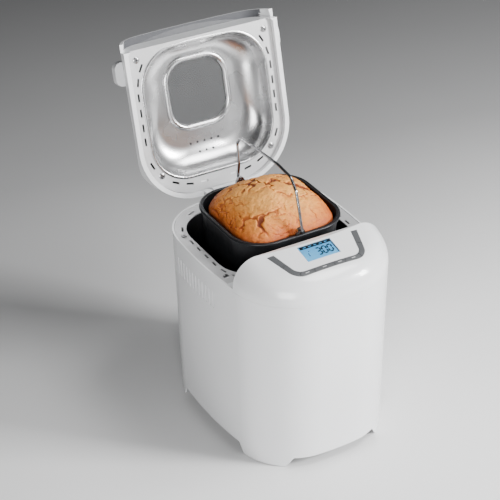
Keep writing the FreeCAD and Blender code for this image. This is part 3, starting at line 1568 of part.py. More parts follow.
BUILDERS = [
    housing_shell, cord_gland, base_plate, foot_pads, deck_frame, deck_screws, oven_chamber,
    heating_element, element_terminals, temperature_sensor, pan_seat, heat_shield, drive_frame,
    shaft_bush, drive_shaft, drive_pulley, motor_pulley, drive_belt, drive_coupling, motor,
    motor_shaft, power_board, board_bracket, keys, console_shell, display, control_board,
    key_switches, hinge_block, hinge_pin, lid_hinge_bracket, lid_dome, lid_liner, lid_screws,
    lid_shell, lid_windows, pan_body, pan_base, shaft_seal, paddle_parts, bread_loaf,
    handle_clips, bail_handle,
]

for builder in BUILDERS:
    builder()
    doc.recompute()

for thing in doc.Objects:
    if "Invalid" in thing.State or "Error" in thing.State:
        raise RuntimeError(f"{thing.Name} failed: {thing.State}")

os.makedirs("parts", exist_ok=True)
for label, thing in subparts:
    shape = thing.Shape
    if shape.isNull() or not shape.isValid() or not shape.Solids:
        raise RuntimeError(f"{label} has no sound shape")
    print(f"{label}: {len(shape.Solids)} solid, {shape.Volume / 1000:.1f} cm3")
for label, thing in subparts:
    thing.Shape.exportStep(f"parts/{label}.step")
print(f"{len(subparts)} sub-parts written")
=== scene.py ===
import json
import math

import bmesh
import bpy
from mathutils import Matrix, Vector, noise
from mathutils.bvhtree import BVHTree


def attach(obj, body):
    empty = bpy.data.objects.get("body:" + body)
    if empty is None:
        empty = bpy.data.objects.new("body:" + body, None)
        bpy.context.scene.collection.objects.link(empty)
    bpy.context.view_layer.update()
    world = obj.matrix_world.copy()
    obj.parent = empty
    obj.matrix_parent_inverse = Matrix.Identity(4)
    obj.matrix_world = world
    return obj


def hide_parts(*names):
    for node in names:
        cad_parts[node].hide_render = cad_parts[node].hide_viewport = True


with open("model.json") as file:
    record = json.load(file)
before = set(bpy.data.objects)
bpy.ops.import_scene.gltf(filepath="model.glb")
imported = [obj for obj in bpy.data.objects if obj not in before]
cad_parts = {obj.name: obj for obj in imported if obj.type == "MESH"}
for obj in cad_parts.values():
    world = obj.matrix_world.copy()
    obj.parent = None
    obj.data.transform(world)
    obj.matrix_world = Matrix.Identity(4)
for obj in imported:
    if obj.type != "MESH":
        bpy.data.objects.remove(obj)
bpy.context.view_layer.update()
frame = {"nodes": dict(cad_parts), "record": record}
nodes = frame["nodes"]
scene = bpy.context.scene
MM = 0.001

# sizes of the CAD model that the new pieces follow, in millimetres and degrees
BODY_BACK = -55.6  # the body's middle, from the row's origin
PAN_LIFT = 60.0
PAN_MIDDLE = 33.5
PAN_RIM = 256.5
LID_OPEN = 103.26
HINGE_AT = (0, 167.44, 280.11)
PANEL_AT = (0, -85.1, 322.7)
PANEL_TILT = 11.3
DECK_SCREW_SEAT = 279.34
LINER_SCREW_SEAT = 288.96
LID_HOLLOW = 290.5  # above this level is the hollow of the closed lid
LID_HOLLOW_HALF = 112.0
LID_MIDDLE = 33.0
LOAF_FORWARD = 30.5  # the crown's middle, 3 mm in front of the pan's
LOAF_BRIM = 252.5
LOAF_RISE = 45.5
LOAF_HALF = 75.6
CRACK_DEPTH = 2.2
DOME_LOW, DOME_TOP = 289.0, 323.0
STEAM_HOLE = 1.7
SCREW_SIDES = 64

# ---------------------------------------------------------------- node helpers


class Shader:
    """A material with its principled shader and a few helpers that add nodes to it."""

    def __init__(self, name, color, roughness, metallic=0.0):
        self.material = bpy.data.materials.new(name)
        self.material.use_nodes = True
        self.tree = self.material.node_tree
        self.bsdf = self.tree.nodes["Principled BSDF"]
        self.bsdf.inputs["Base Color"].default_value = (*color, 1.0)
        self.bsdf.inputs["Roughness"].default_value = roughness
        self.bsdf.inputs["Metallic"].default_value = metallic
        self.place = self.tree.nodes.new("ShaderNodeTexCoord").outputs["Object"]

    def add(self, kind, **values):
        node = self.tree.nodes.new(kind)
        for name, value in values.items():
            setattr(node, name, value)
        return node

    def link(self, source, target):
        self.tree.links.new(source, target)

    def stretched(self, scale):
        node = self.add("ShaderNodeMapping")
        node.inputs["Scale"].default_value = scale
        self.link(self.place, node.inputs["Vector"])
        return node.outputs["Vector"]

    def noise(self, scale, detail=4.0, rough=0.5, place=None, distortion=0.0):
        node = self.add("ShaderNodeTexNoise")
        node.inputs["Scale"].default_value = scale
        node.inputs["Detail"].default_value = detail
        node.inputs["Roughness"].default_value = rough
        node.inputs["Distortion"].default_value = distortion
        self.link(place or self.place, node.inputs["Vector"])
        return node.outputs["Fac"]

    def cells(self, scale, feature="F1", place=None):
        node = self.add("ShaderNodeTexVoronoi", feature=feature)
        node.inputs["Scale"].default_value = scale
        self.link(place or self.place, node.inputs["Vector"])
        return node.outputs["Distance"]

    def ramp(self, value, *stops):
        node = self.add("ShaderNodeValToRGB")
        ramp = node.color_ramp
        while len(ramp.elements) < len(stops):
            ramp.elements.new(0.5)
        for element, (at, color) in zip(ramp.elements, stops):
            element.position = at
            element.color = (*color, 1.0) if len(color) == 3 else color
        self.link(value, node.inputs["Fac"])
        return node.outputs["Color"]

    def span(self, value, low, high, start=0.0, stop=1.0):
        node = self.add("ShaderNodeMapRange")
        node.inputs["From Min"].default_value = start
        node.inputs["From Max"].default_value = stop
        node.inputs["To Min"].default_value = low
        node.inputs["To Max"].default_value = high
        self.link(value, node.inputs["Value"])
        return node.outputs["Result"]

    def mix(self, share, first, second, blend="MIX"):
        node = self.add("ShaderNodeMix", data_type="RGBA", blend_type=blend)
        for socket, value in ((0, share), (6, first), (7, second)):
            if hasattr(value, "is_linked"):
                self.link(value, node.inputs[socket])
            elif isinstance(value, (int, float)):
                node.inputs[socket].default_value = value
            else:
                node.inputs[socket].default_value = (*value, 1.0)
        return node.outputs[2]

    def maths(self, operation, first, second=0.0):
        node = self.add("ShaderNodeMath", operation=operation)
        for i, value in enumerate((first, second)):
            if hasattr(value, "is_linked"):
                self.link(value, node.inputs[i])
            else:
                node.inputs[i].default_value = value
        return node.outputs[0]

    def color(self, source):
        self.link(source, self.bsdf.inputs["Base Color"])

    def roughness(self, source):
        self.link(source, self.bsdf.inputs["Roughness"])

    def bump(self, height, depth, strength=1.0):
        node = self.add("ShaderNodeBump")
        node.inputs["Strength"].default_value = strength
        node.inputs["Distance"].default_value = depth
        self.link(height, node.inputs["Height"])
        below = self.bsdf.inputs["Normal"]
        if below.is_linked:
            self.link(below.links[0].from_socket, node.inputs["Normal"])
        self.link(node.outputs["Normal"], below)

    def set(self, **values):
        for name, value in values.items():
            self.bsdf.inputs[name.replace("_", " ")].default_value = value


# ---------------------------------------------------------------- materials


def white_plastic():
    """Glossy white moulding with a faint ripple and hardly visible dust."""
    s = Shader("white_plastic", (0.88, 0.885, 0.89), 0.2)
    cloud = s.noise(9.0, 3.0)
    s.color(s.ramp(cloud, (0.3, (0.845, 0.85, 0.862)), (0.75, (0.875, 0.88, 0.888))))
    s.roughness(s.span(s.noise(140.0, 6.0), 0.16, 0.27, 0.3, 0.7))
    s.bump(s.noise(420.0, 2.0), 0.00004, 0.5)
    s.set(Coat_Weight=0.35, Coat_Roughness=0.06, IOR=1.5)
    return s.material


def painted_grey(name, light):
    """Satin grey paint on sheet metal, with a fine orange peel."""
    s = Shader(name, (light, light, light), 0.36, 0.25)
    tone = s.noise(30.0, 4.0)
    low, high = light * 0.93, light * 1.03
    s.color(s.ramp(tone, (0.3, (low, low, low * 1.01)), (0.7, (high, high, high * 1.01))))
    s.roughness(s.span(s.noise(220.0, 5.0), 0.3, 0.44, 0.3, 0.7))
    s.bump(s.noise(900.0, 2.0), 0.00003, 0.5)
    return s.material


def drawn_metal():
    """The dome's deep-drawn satin sheet, with soft clouding."""
    s = Shader("drawn_metal", (0.6, 0.6, 0.61), 0.26, 1.0)
    cloud = s.noise(9.0, 2.0)
    s.color(s.ramp(cloud, (0.3, (0.56, 0.56, 0.565)), (0.7, (0.64, 0.64, 0.645))))
    s.roughness(s.span(s.noise(30.0, 2.0), 0.25, 0.29, 0.3, 0.7))
    return s.material


def oven_coating():
    """The oven's dark heat-proof coating."""
    s = Shader("oven_coating", (0.018, 0.018, 0.02), 0.42)
    s.roughness(s.span(s.noise(60.0, 6.0), 0.34, 0.55, 0.3, 0.7))
    s.bump(s.noise(700.0, 3.0), 0.00005, 0.5)
    return s.material


def pan_coating():
    """Dark non-stick coating with a fine metallic fleck."""
    s = Shader("pan_coating", (0.05, 0.052, 0.056), 0.36, 0.55)
    fleck = s.cells(1500.0)
    s.color(s.ramp(fleck, (0.0, (0.09, 0.09, 0.1)), (0.16, (0.026, 0.027, 0.03)),
                   (1.0, (0.02, 0.021, 0.024))))
    s.roughness(s.span(s.noise(90.0, 6.0), 0.28, 0.46, 0.3, 0.7))
    s.bump(s.noise(1100.0, 2.0), 0.00003, 0.4)
    return s.material


def polished_wire():
    s = Shader("polished_wire", (0.36, 0.36, 0.37), 0.14, 1.0)
    s.roughness(s.span(s.noise(260.0, 6.0), 0.1, 0.26, 0.3, 0.7))
    return s.material


def zinc_plate(name="zinc_plate", tone=0.38, rough=0.26):
    s = Shader(name, (tone, tone, tone * 1.01), rough, 1.0)
    s.roughness(s.span(s.noise(340.0, 6.0), rough * 0.75, rough * 1.35, 0.3, 0.7))
    s.bump(s.noise(500.0, 4.0), 0.00003, 0.4)
    return s.material


def key_plastic():
    """Silver-grey key tops with a metallic fleck under a clear coat."""
    s = Shader("key_plastic", (0.22, 0.225, 0.235), 0.4, 0.3)
    fleck = s.noise(2600.0, 2.0)
    s.color(s.ramp(fleck, (0.35, (0.09, 0.093, 0.098)), (0.7, (0.14, 0.143, 0.148))))
    s.roughness(s.span(s.noise(300.0, 4.0), 0.28, 0.42, 0.3, 0.7))
    s.set(Coat_Weight=0.15, Coat_Roughness=0.2)
    return s.material


def window_glass():
    """Slightly smoked heat-proof glass."""
    s = Shader("window_glass", (0.36, 0.365, 0.37), 0.08)
    s.roughness(s.span(s.noise(40.0, 4.0), 0.05, 0.14, 0.3, 0.7))
    s.set(Transmission_Weight=0.8, IOR=1.45)
    return s.material


def display_cover():
    s = Shader("display_cover", (1.0, 1.0, 1.0), 0.02)
    s.set(Transmission_Weight=1.0, IOR=1.1)
    return s.material


def display_glow():
    """The backlit panel, its glow varying a little at random."""
    s = Shader("display_glow", (0.1, 0.3, 0.45), 0.5)
    tone = s.noise(30.0, 1.0)
    light = s.ramp(tone, (0.3, (0.09, 0.47, 0.92)), (0.7, (0.13, 0.54, 0.97)))
    s.color(s.mix(0.7, light, (0.02, 0.06, 0.09)))
    s.link(light, s.bsdf.inputs["Emission Color"])
    s.set(Emission_Strength=0.85)
    return s.material


def display_ink():
    s = Shader("display_ink", (0.008, 0.01, 0.014), 0.6)
    s.roughness(s.span(s.noise(500.0, 2.0), 0.55, 0.7, 0.3, 0.7))
    s.set(Specular_IOR_Level=0.15)
    return s.material


def rubber():
    s = Shader("rubber", (0.03, 0.03, 0.03), 0.75)
    s.roughness(s.span(s.noise(200.0, 5.0), 0.62, 0.85, 0.3, 0.7))
    s.bump(s.noise(900.0, 3.0), 0.00006, 0.5)
    return s.material


def dull_plastic(name, color, rough=0.5):
    s = Shader(name, color, rough)
    s.roughness(s.span(s.noise(240.0, 5.0), rough * 0.85, rough * 1.2, 0.3, 0.7))
    s.bump(s.noise(1100.0, 3.0), 0.00004, 0.5)
    return s.material


def bronze():
    s = Shader("bronze", (0.55, 0.36, 0.16), 0.45, 1.0)
    s.bump(s.noise(900.0, 3.0), 0.00005, 0.5)
    s.roughness(s.span(s.noise(200.0, 5.0), 0.38, 0.55, 0.3, 0.7))
    return s.material


def circuit_board():
    s = Shader("circuit_board", (0.02, 0.12, 0.05), 0.4)
    lines = s.cells(260.0, "DISTANCE_TO_EDGE")
    s.color(s.ramp(lines, (0.0, (0.05, 0.22, 0.09)), (0.06, (0.015, 0.1, 0.04))))
    s.roughness(s.span(lines, 0.3, 0.5, 0.0, 0.2))
    return s.material


def crust():
    """Baked crust: red-brown at the rim, golden on the crown, with painted shade darkening the inside
    of the cracks.
    """
    s = Shader("crust", (0.6, 0.33, 0.13), 0.6)
    height = s.add("ShaderNodeSeparateXYZ")
    s.link(s.place, height.inputs[0])
    level = s.span(height.outputs["Z"], 0.0, 1.0, 0.313, 0.352)
    broad = s.noise(22.0, 6.0, 0.6, distortion=0.6)
    fine = s.noise(170.0, 8.0, 0.65)
    baked = s.maths("ADD", s.maths("MULTIPLY", level, 0.62), s.maths("MULTIPLY", broad, 0.62))
    base = s.ramp(baked, (0.2, (0.24, 0.03, 0.004)), (0.42, (0.5, 0.115, 0.012)),
                  (0.64, (0.66, 0.215, 0.025)), (0.95, (0.8, 0.36, 0.075)))
    speck = s.ramp(fine, (0.3, (0.55, 0.36, 0.24)), (0.5, (1.0, 1.0, 1.0)))
    tint = s.mix(0.6, base, speck, "MULTIPLY")
    depth = s.add("ShaderNodeAttribute", attribute_name="crack").outputs["Fac"]
    # painted shade: the colour darkens towards the bottom of each crack and is a little paler along
    # its edge
    pale_edge_and_crack_shade = s.ramp(depth, (0.0, (1.0, 1.0, 1.0)), (0.3, (1.08, 1.04, 0.98)), (0.5, (0.62, 0.42, 0.28)),
                 (1.0, (0.24, 0.1, 0.05)))
    s.color(s.mix(1.0, tint, pale_edge_and_crack_shade, "MULTIPLY"))
    s.roughness(s.span(fine, 0.48, 0.8, 0.3, 0.7))
    s.bump(s.noise(75.0, 8.0, 0.7), 0.0022, 0.7)
    s.bump(fine, 0.0009, 0.7)
    s.bump(s.noise(520.0, 6.0, 0.7), 0.0004, 0.6)
    s.set(Subsurface_Weight=0.06, Subsurface_Scale=0.004)
    return s.material


M = {
    "white_shell": white_plastic(),
    "deck_grey": painted_grey("deck_paint", 0.55),
    "liner_grey": painted_grey("liner_paint", 0.62),
    "satin_aluminium": drawn_metal(),
    "oven_steel": oven_coating(),
    "plated_steel": zinc_plate(),
    "bright_wire": polished_wire(),
    "element_steel": zinc_plate("element_sheath", 0.12, 0.5),
    "ceramic_white": dull_plastic("ceramic_body", (0.75, 0.72, 0.66), 0.6),
    "bronze": bronze(),
    "black_rubber": rubber(),
    "black_plastic": dull_plastic("black_plastic", (0.025, 0.025, 0.028)),
    "grey_plastic": dull_plastic("grey_plastic", (0.09, 0.092, 0.1)),
    "key_silver": key_plastic(),
    "circuit_green": circuit_board(),
    "lcd_blue": display_glow(),
    "clear_window": window_glass(),
    "pan_coating": pan_coating(),
    "crust": crust(),
}
display_clear = display_cover()
ink = display_ink()

slot_of = {part["node"]: part["material_slot"] for part in frame["record"]["subparts"]}


# The CAD pieces are built round the body's middle, then moved to the row's origin.
BODY = Matrix.Translation((0, BODY_BACK * MM, 0))
PAN = BODY @ Matrix.Translation((0, 0, PAN_LIFT * MM))
HINGE = Matrix.Translation(Vector(HINGE_AT) * MM)
LID = BODY @ HINGE @ Matrix.Rotation(math.radians(-LID_OPEN), 4, "X") @ HINGE.inverted()
PANEL = (BODY @ Matrix.Translation(Vector(PANEL_AT) * MM)
         @ Matrix.Rotation(math.radians(PANEL_TILT), 4, "X"))


def smooth_by_angle(piece, degrees):
    """Round shading across gentle edges, crisp shading across sharp ones."""
    mesh = piece.data
    mesh.polygons.foreach_set("use_smooth", [True] * len(mesh.polygons))
    mesh.set_sharp_from_angle(angle=math.radians(degrees))


def paint_shade_in_lid_cavity():
    """The lid's hollow is given dark grey plastic as painted shade, so the air slots read as dark."""
    shell = nodes["lid_shell"]
    # painted shade: the faces that look into the hollow get the dark plastic
    shell.data.materials.append(M["grey_plastic"])
    place = LID.inverted() @ shell.matrix_world
    turn = place.to_3x3()
    for polygon in shell.data.polygons:
        x, y, z = place @ polygon.center / MM
        facing = (turn @ polygon.normal).normalized()
        inward = facing.x * x + facing.y * (y - LID_MIDDLE) < -0.1 * math.hypot(x, y - LID_MIDDLE)
        if z > LID_HOLLOW and abs(x) < LID_HOLLOW_HALF and (inward or facing.z < -0.3):
            polygon.material_index = 1


def dress_cad_nodes():
    for name, thing in nodes.items():
        material = display_clear if name == "lcd_window" else M[slot_of[name]]
        thing.data.materials.clear()
        thing.data.materials.append(material)
        for polygon in thing.data.polygons:
            polygon.material_index = 0
    paint_shade_in_lid_cavity()


dress_cad_nodes()

# ---------------------------------------------------------------- places and mesh helpers

def drilled(mesh, rods):
    """The mesh with the rods cut out of it."""
    pair = [bpy.data.objects.new("drill_part", data) for data in (mesh, rods)]
    for thing in pair:
        scene.collection.objects.link(thing)
    cut = pair[0].modifiers.new("drill", "BOOLEAN")
    cut.operation, cut.solver, cut.object = "DIFFERENCE", "EXACT", pair[1]
    view = bpy.context.evaluated_depsgraph_get()
    result = bpy.data.meshes.new_from_object(pair[0].evaluated_get(view))
    for thing in pair:
        bpy.data.objects.remove(thing)
    return result


def plain_mesh(name, mesh_parts, place):
    """A mesh from lists of vertices in millimetres and faces."""
    vertices, faces = [], []
    for part_vertices, part_faces in mesh_parts:
        start = len(vertices)
        vertices += [place @ (Vector(v) * MM) for v in part_vertices]
        faces += [tuple(i + start for i in face) for face in part_faces]
    mesh = bpy.data.meshes.new(name)
    mesh.from_pydata(vertices, [], faces)
    shape = bmesh.new()
    shape.from_mesh(mesh)
    bmesh.ops.recalc_face_normals(shape, faces=shape.faces)
    shape.to_mesh(mesh)
    shape.free()
    return mesh


def make_piece(name, mesh_parts, place, body, material, smooth=35.0, rods=None):
    """One object riding on a CAD body; rods, if given, are drilled out of it."""
    mesh = plain_mesh(name, mesh_parts, place)
    if rods:
        mesh = drilled(mesh, plain_mesh(name + "_rods", rods, place))
        mesh.name = name
    mesh.materials.clear()
    mesh.materials.append(material)
    piece = bpy.data.objects.new(name, mesh)
    scene.collection.objects.link(piece)
    smooth_by_angle(piece, smooth)
    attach(piece, body)
    return piece


def rings_to_mesh(rings, closed=False):
    """Vertices and quads through rings of equally many points; the ends are capped."""
    count = len(rings[0])
    vertices = [p for ring in rings for p in ring]
    faces = []
    total = len(rings)
    for i in range(total if closed else total - 1):
        for j in range(count):
            k, m = (j + 1) % count, (i + 1) % total
            faces.append((i * count + j, i * count + k, m * count + k, m * count + j))
    if not closed:
        faces.append(tuple(range(count)))
        faces.append(tuple((total - 1) * count + j for j in reversed(range(count))))
    return vertices, faces


def round_square(half, corner, count, cx=0.0, cy=0.0):
    """Points round a square with rounded corners, evenly spaced in angle along each corner."""
    corner = min(corner, half)
    flat = 2 * (half - corner)
    length = 4 * flat + 2 * math.pi * corner
    points = []
    for i in range(count):
        way = (i + 0.5) / count * length
        side = length / 4
        k, rest = int(way // side), way % side
        if rest < flat:
            x, y = half, rest - flat / 2
        else:
            turn = (rest - flat) / corner if corner > 0 else 0.0
            x = half - corner + corner * math.cos(turn)
            y = half - corner + corner * math.sin(turn)
        for _ in range(k):
            x, y = -y, x
        points.append((x + cx, y + cy))
    return points


def slab_mesh(corners, low, high):
    """A thin prism over a flat outline given as (x, y) points."""
    count = len(corners)
    vertices = [(x, y, low) for x, y in corners] + [(x, y, high) for x, y in corners]
    faces = [tuple(reversed(range(count))), tuple(range(count, 2 * count))]
    for i in range(count):
        j = (i + 1) % count
        faces.append((i, j, count + j, count + i))
    return vertices, faces


# ---------------------------------------------------------------- the loaf


def crack_depth(p):
    """How deep the crust has split at a point, from 0 to 1."""
    swirl = Vector((noise.noise(p * 38.0), noise.noise(p * 38.0 + Vector((7, 3, 1))), 0.0))
    ragged = Vector((noise.noise(p * 160.0), noise.noise(p * 160.0 + Vector((1, 6, 2))), 0.0))
    q = Vector((p.x, p.y, p.z * 0.6)) * 29.0 + swirl * 0.42 + ragged * 0.16
    near, _ = noise.voronoi(q)
    edge = near[1] - near[0]
    width = 0.03 + 0.05 * (0.5 + 0.5 * noise.noise(p * 55.0))
    big = min(1.0, 1.7 * max(0.0, 1.0 - edge / (width * 1.7)))
    where = noise.noise(p * 15.0 + Vector((2.3, 0.4, 5.1)))
    near_top = min(1.0, max(0.0, (p.z - 0.318) / 0.014))
    big *= min(1.0, max(0.0, (where + 0.42) * 2.6)) * near_top
    near, _ = noise.voronoi(Vector((p.x, p.y, p.z * 0.7)) * 66.0 + swirl * 1.1 + ragged * 0.4)
    fine = max(0.0, 1.0 - (near[1] - near[0]) / 0.11)
    other = noise.noise(p * 22.0 + Vector((6.1, 2.2, 7.7)))
    big = max(big, 0.6 * fine * min(1.0, max(0.0, other * 3.2)))
    tear = noise.noise(Vector((p.x * 60.0, p.y * 90.0, p.z * 70.0)) + Vector((9, 1, 4)))
    small = max(0.0, 1.0 - abs(tear) / 0.05) * 0.35
    patch = noise.noise(p * 30.0 + Vector((4.2, 8.8, 0.3)))
    return min(1.0, max(big, small * min(1.0, max(0.0, patch * 4.0))))


def loaf():
    """The risen crown with its splits, the sides in the pan and the paddle's hollow beneath."""
    middle, front = PAN_MIDDLE, LOAF_FORWARD
    count = 460
    steps = 150
    rings = []

    def ring(half, corner, level, cy):
        points = round_square(half, corner, count, 0.0, cy)
        rings.append([(x, y, level) for x, y in points])

    floor = 131.0
    ring(6, 6, floor + 28, middle)
    ring(29, 29, floor + 28, middle)
    ring(32, 32, floor + 25, middle)
    ring(33, 33, floor + 1, middle)
    ring(36, 35, floor, middle)
    ring(70, 38, floor, middle)
    ring(73, 40, floor + 4, middle)
    for i in range(1, 8):
        share = i / 8
        ring(73.4 + 1.4 * share, 40.5, floor + 4 + 114 * share, middle - 3.0 * share)
    brim, rise = LOAF_BRIM, LOAF_RISE
    for i in range(steps + 1):
        angle = i / steps * math.pi / 2
        share = math.sin(angle) ** 1.15
        width = max(0.0, 1.0 - share ** 1.62) ** 0.47
        half = max(LOAF_HALF * width, 0.4)
        ring(half, half * (0.53 + 0.3 * share), brim + rise * share, front)
    vertices, faces = rings_to_mesh(rings)
    depths = []
    shaped = []
    for v in vertices:
        p = PAN @ (Vector(v) * MM)
        above = min(1.0, max(0.0, (v[2] - brim + 6.0) / 10.0))
        if above <= 0.0:
            depths.append(0.0)
            shaped.append(v)
            continue
        out = Vector((v[0], v[1] - front, (v[2] - brim + 6.0) * 1.1)).normalized()
        lump = noise.noise(p * 17.0) * 2.0 + noise.noise(p * 42.0) * 1.0
        lump += noise.noise(p * 110.0) * 0.6 + noise.noise(p * 260.0) * 0.45
        depth = crack_depth(p)
        plate = noise.noise(Vector((p.x, p.y, 0.0)) * 27.0 + Vector((3.0, 5.0, 0.0))) * 0.9
        shift = (lump + plate - CRACK_DEPTH * depth - 0.6) * above
        depths.append(depth * above)
        shaped.append(tuple(Vector(v) + out * shift))
    piece = make_piece("loaf_crust", [(shaped, faces)], PAN, "pan", M["crust"], 70.0)
    layer = piece.data.attributes.new("crack", "FLOAT", "POINT")
    layer.data.foreach_set("value", depths)
    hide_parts("bread_loaf")


# ---------------------------------------------------------------- display


SEGMENTS = {
    "0": "abcdef", "1": "bc", "3": "abcdg",
}


def digit(text, x, y, tall, wide, stroke):
    """Seven-segment strokes as flat outlines, leaning a little to the right."""
    mid = tall / 2
    gap = stroke * 0.12
    spans = {
        "a": ((0, tall), (wide, tall)), "g": ((0, mid), (wide, mid)), "d": ((0, 0), (wide, 0)),
        "f": ((0, mid), (0, tall)), "b": ((wide, mid), (wide, tall)),
        "e": ((0, 0), (0, mid)), "c": ((wide, 0), (wide, mid)),
    }
    half = stroke / 2
    strokes = []
    for name in SEGMENTS[text]:
        (x0, y0), (x1, y1) = spans[name]
        if y0 == y1:
            outline = [(x0 + gap, y0), (x0 + half + gap, y0 - half), (x1 - half - gap, y0 - half),
                       (x1 - gap, y0), (x1 - half - gap, y0 + half), (x0 + half + gap, y0 + half)]
        else:
            outline = [(x0, y0 + gap), (x0 + half, y0 + half + gap), (x0 + half, y1 - half - gap),
                       (x0, y1 - gap), (x0 - half, y1 - half - gap), (x0 - half, y0 + half + gap)]
        strokes.append([(x + px + (y + py) * 0.06, y + py) for px, py in outline])
    return strokes


def display_marks():
    """The dark figures and the dark strips on the display's cover."""
    low, high = 0.205, 0.24
    outlines = []
    for text, x in (("3", -3.2), ("0", 5.6), ("0", 14.4)):
        outlines += digit(text, x, -24.2, 13.2, 5.9, 2.3)
    outlines += digit("1", -18.6, -22.5, 6.8, 2.2, 1.7)
    for y in (-15.6, -20.6):
        outlines.append([(4.0 - 0.7, y), (4.0 + 0.7, y), (4.0 + 0.7, y + 1.4), (4.0 - 0.7, y + 1.4)])
    outlines.append([(-16.0, -13.6), (-14.2, -13.6), (-14.2, -12.2), (-16.0, -12.2)])
    outlines.append([(-24.3, -6.6), (24.3, -6.6), (24.3, -1.2), (-24.3, -1.2)])
    outlines.append([(22.9, -28.8), (24.3, -28.8), (24.3, -6.7), (22.9, -6.7)])
    parts = [slab_mesh(o, low, high) for o in outlines]
    make_piece("display_figures", parts, PANEL, "housing", ink, 20.0)
    glints = []
    for x in (-17, -8.5, 0, 8.5, 16.5):
        glints.append(slab_mesh([(x - 2.2, -4.4), (x + 2.2, -4.4), (x + 2.2, -3.6), (x - 2.2, -3.6)],
                                high, high + 0.012))
    make_piece("display_legend", glints, PANEL, "housing", M["lcd_blue"], 20.0)


# ---------------------------------------------------------------- screws


def screw(radius, proud):
    """A pan head with a cross recess, its underside at zero and its crown at +Z."""
    steps, around = 26, SCREW_SIDES
    rings = [[(radius * 0.98 * math.cos(a), radius * 0.98 * math.sin(a), 0.0)
              for a in [2 * math.pi * j / around for j in range(around)]]]
    for i in range(steps):
        share = 1.0 - i / steps
        r = radius * share
        ring = []
        for j in range(around):
            a = 2 * math.pi * (j + 0.5) / around
            x, y = r * math.cos(a), r * math.sin(a)
            z = proud * (1.0 - 0.55 * share ** 3)
            long, narrow = radius * 0.56, radius * 0.15
            if min(abs(x), abs(y)) < narrow and max(abs(x), abs(y)) < long:
                z -= proud * 0.7
            elif r < radius * 0.3:
                z -= proud * 0.35
            ring.append((x, y, z))
        rings.append(ring)
    return rings_to_mesh(rings)


def seat_screws(name, spots, radius, proud, level, place, body, upside, node, turn):
    parts = []
    for i, (x, y) in enumerate(spots):
        vertices, faces = screw(radius, proud)
        a = math.radians(turn * (i + 1))
        moved = []
        for vx, vy, vz in vertices:
            px, py = vx * math.cos(a) - vy * math.sin(a), vx * math.sin(a) + vy * math.cos(a)
            moved.append((x + px, y + py, level - vz if upside else level + vz))
        parts.append((moved, faces))
        shank = [[(x + 1.8 * math.cos(t), y + 1.8 * math.sin(t), z)
                  for t in [2 * math.pi * j / 24 for j in range(24)]]
                 for z in ((level, level + 6.5) if upside else (level - 2.4, level))]
        parts.append(rings_to_mesh(shank))
    piece = make_piece(name, parts, place, body, M["plated_steel"], 30.0)
    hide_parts(node)


def screws():
    spots = [(s * x, y) for x, y in ((111, 84), (110.5, -38)) for s in (-1, 1)]
    seat_screws("deck_screw_heads", spots, 4.2, 1.58, DECK_SCREW_SEAT, BODY, "housing", False,
                "deck_screws", 37)
    spots = [(s * x, y) for x, y in ((104.4, -56), (92, 121)) for s in (-1, 1)]
    seat_screws("lid_screw_heads", spots, 4.8, 1.75, LINER_SCREW_SEAT, LID, "lid", True,
                "lid_screws", 23)


# ---------------------------------------------------------------- the lid's dome


def round_box(half, front, rear, corner):
    """Points round a box with rounded corners: as many on every side and corner, at any size."""
    flat, turn = 18, 20
    middle = (front + rear) / 2
    reach = (rear - front) / 2
    points = []
    for k in range(4):
        wide, long = (half, reach) if k % 2 == 0 else (reach, half)
        side = [(wide, (long - corner) * (2 * i / flat - 1)) for i in range(flat)]
        for i in range(turn):
            a = math.pi / 2 * i / turn
            side.append((wide - corner + corner * math.cos(a), long - corner + corner * math.sin(a)))
        for x, y in side:
            for _ in range(k):
                x, y = -y, x
            points.append((x, y + middle))
    return points


def dome():
    """The drawn sheet: rolled edge, soft bowl, pressed bead round the window, steam holes."""
    low, top, sheet = DOME_LOW, DOME_TOP, 1.0
    foot = round_box(100.0, -63.0, 133.0, 58.0)
    bead = round_box(55.0, -38.0, 76.0, 38.0)
    pane = round_box(45.0, -28.0, 66.0, 28.0)
    ways = []
    for (x0, y0), (x1, y1) in zip(foot, bead):
        ways.append((Vector((x1 - x0, y1 - y0)).normalized(), math.hypot(x1 - x0, y1 - y0)))

    def foot_ring(out, level):
        return [(x - way.x * out, y - way.y * out, level) for (x, y), (way, _) in zip(foot, ways)]

    def bowl_ring(angle, lift):
        ring = []
        for (x, y), (way, run) in zip(foot, ways):
            along = min(40.0, run * 0.92) * (1 - math.cos(angle)) - lift * math.cos(angle)
            height = low + (top - low) * math.sin(angle) ** 0.92 + lift * math.sin(angle)
            ring.append((x + way.x * along, y + way.y * along, height))
        return ring

    def bead_ring(share, level):
        return [(x0 + (x1 - x0) * share, y0 + (y1 - y0) * share, level)
                for (x0, y0), (x1, y1) in zip(bead, pane)]

    steps = 26
    rings = [foot_ring(4.0, 288.95), foot_ring(4.0, 288.3), foot_ring(3.4, 287.9),
             foot_ring(0.7, 287.9), foot_ring(0.15, 288.2)]
    rings += [bowl_ring(math.pi / 2 * i / steps, 0.0) for i in range(steps + 1)]
    rings += [bead_ring(i / 12, top - 3.4 * math.sin(math.pi * i / 12) ** 0.8) for i in range(12)]
    rings += [bead_ring(1.0, top + 0.1), bead_ring(1.0, top + sheet), bead_ring(0.0, top + sheet)]
    rings += [bowl_ring(math.pi / 2 * i / steps, sheet) for i in range(steps, -1, -1)]
    around = [2 * math.pi * j / 20 for j in range(20)]
    spots = [(11.6 * i, 95.7) for i in range(-2, 3)] + [(11.4 * i, 110.0) for i in range(-1, 2)]
    rods = [rings_to_mesh([[(x + STEAM_HOLE * math.cos(a), y + STEAM_HOLE * math.sin(a), z)
                            for a in around]
                           for z in (top - 14, top + 6)]) for x, y in spots]
    piece = make_piece("dome_sheet", [rings_to_mesh(rings, closed=True)], LID, "lid",
                       M["satin_aluminium"], 50.0, rods)
    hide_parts("lid_dome")


# ---------------------------------------------------------------- the pan's rim


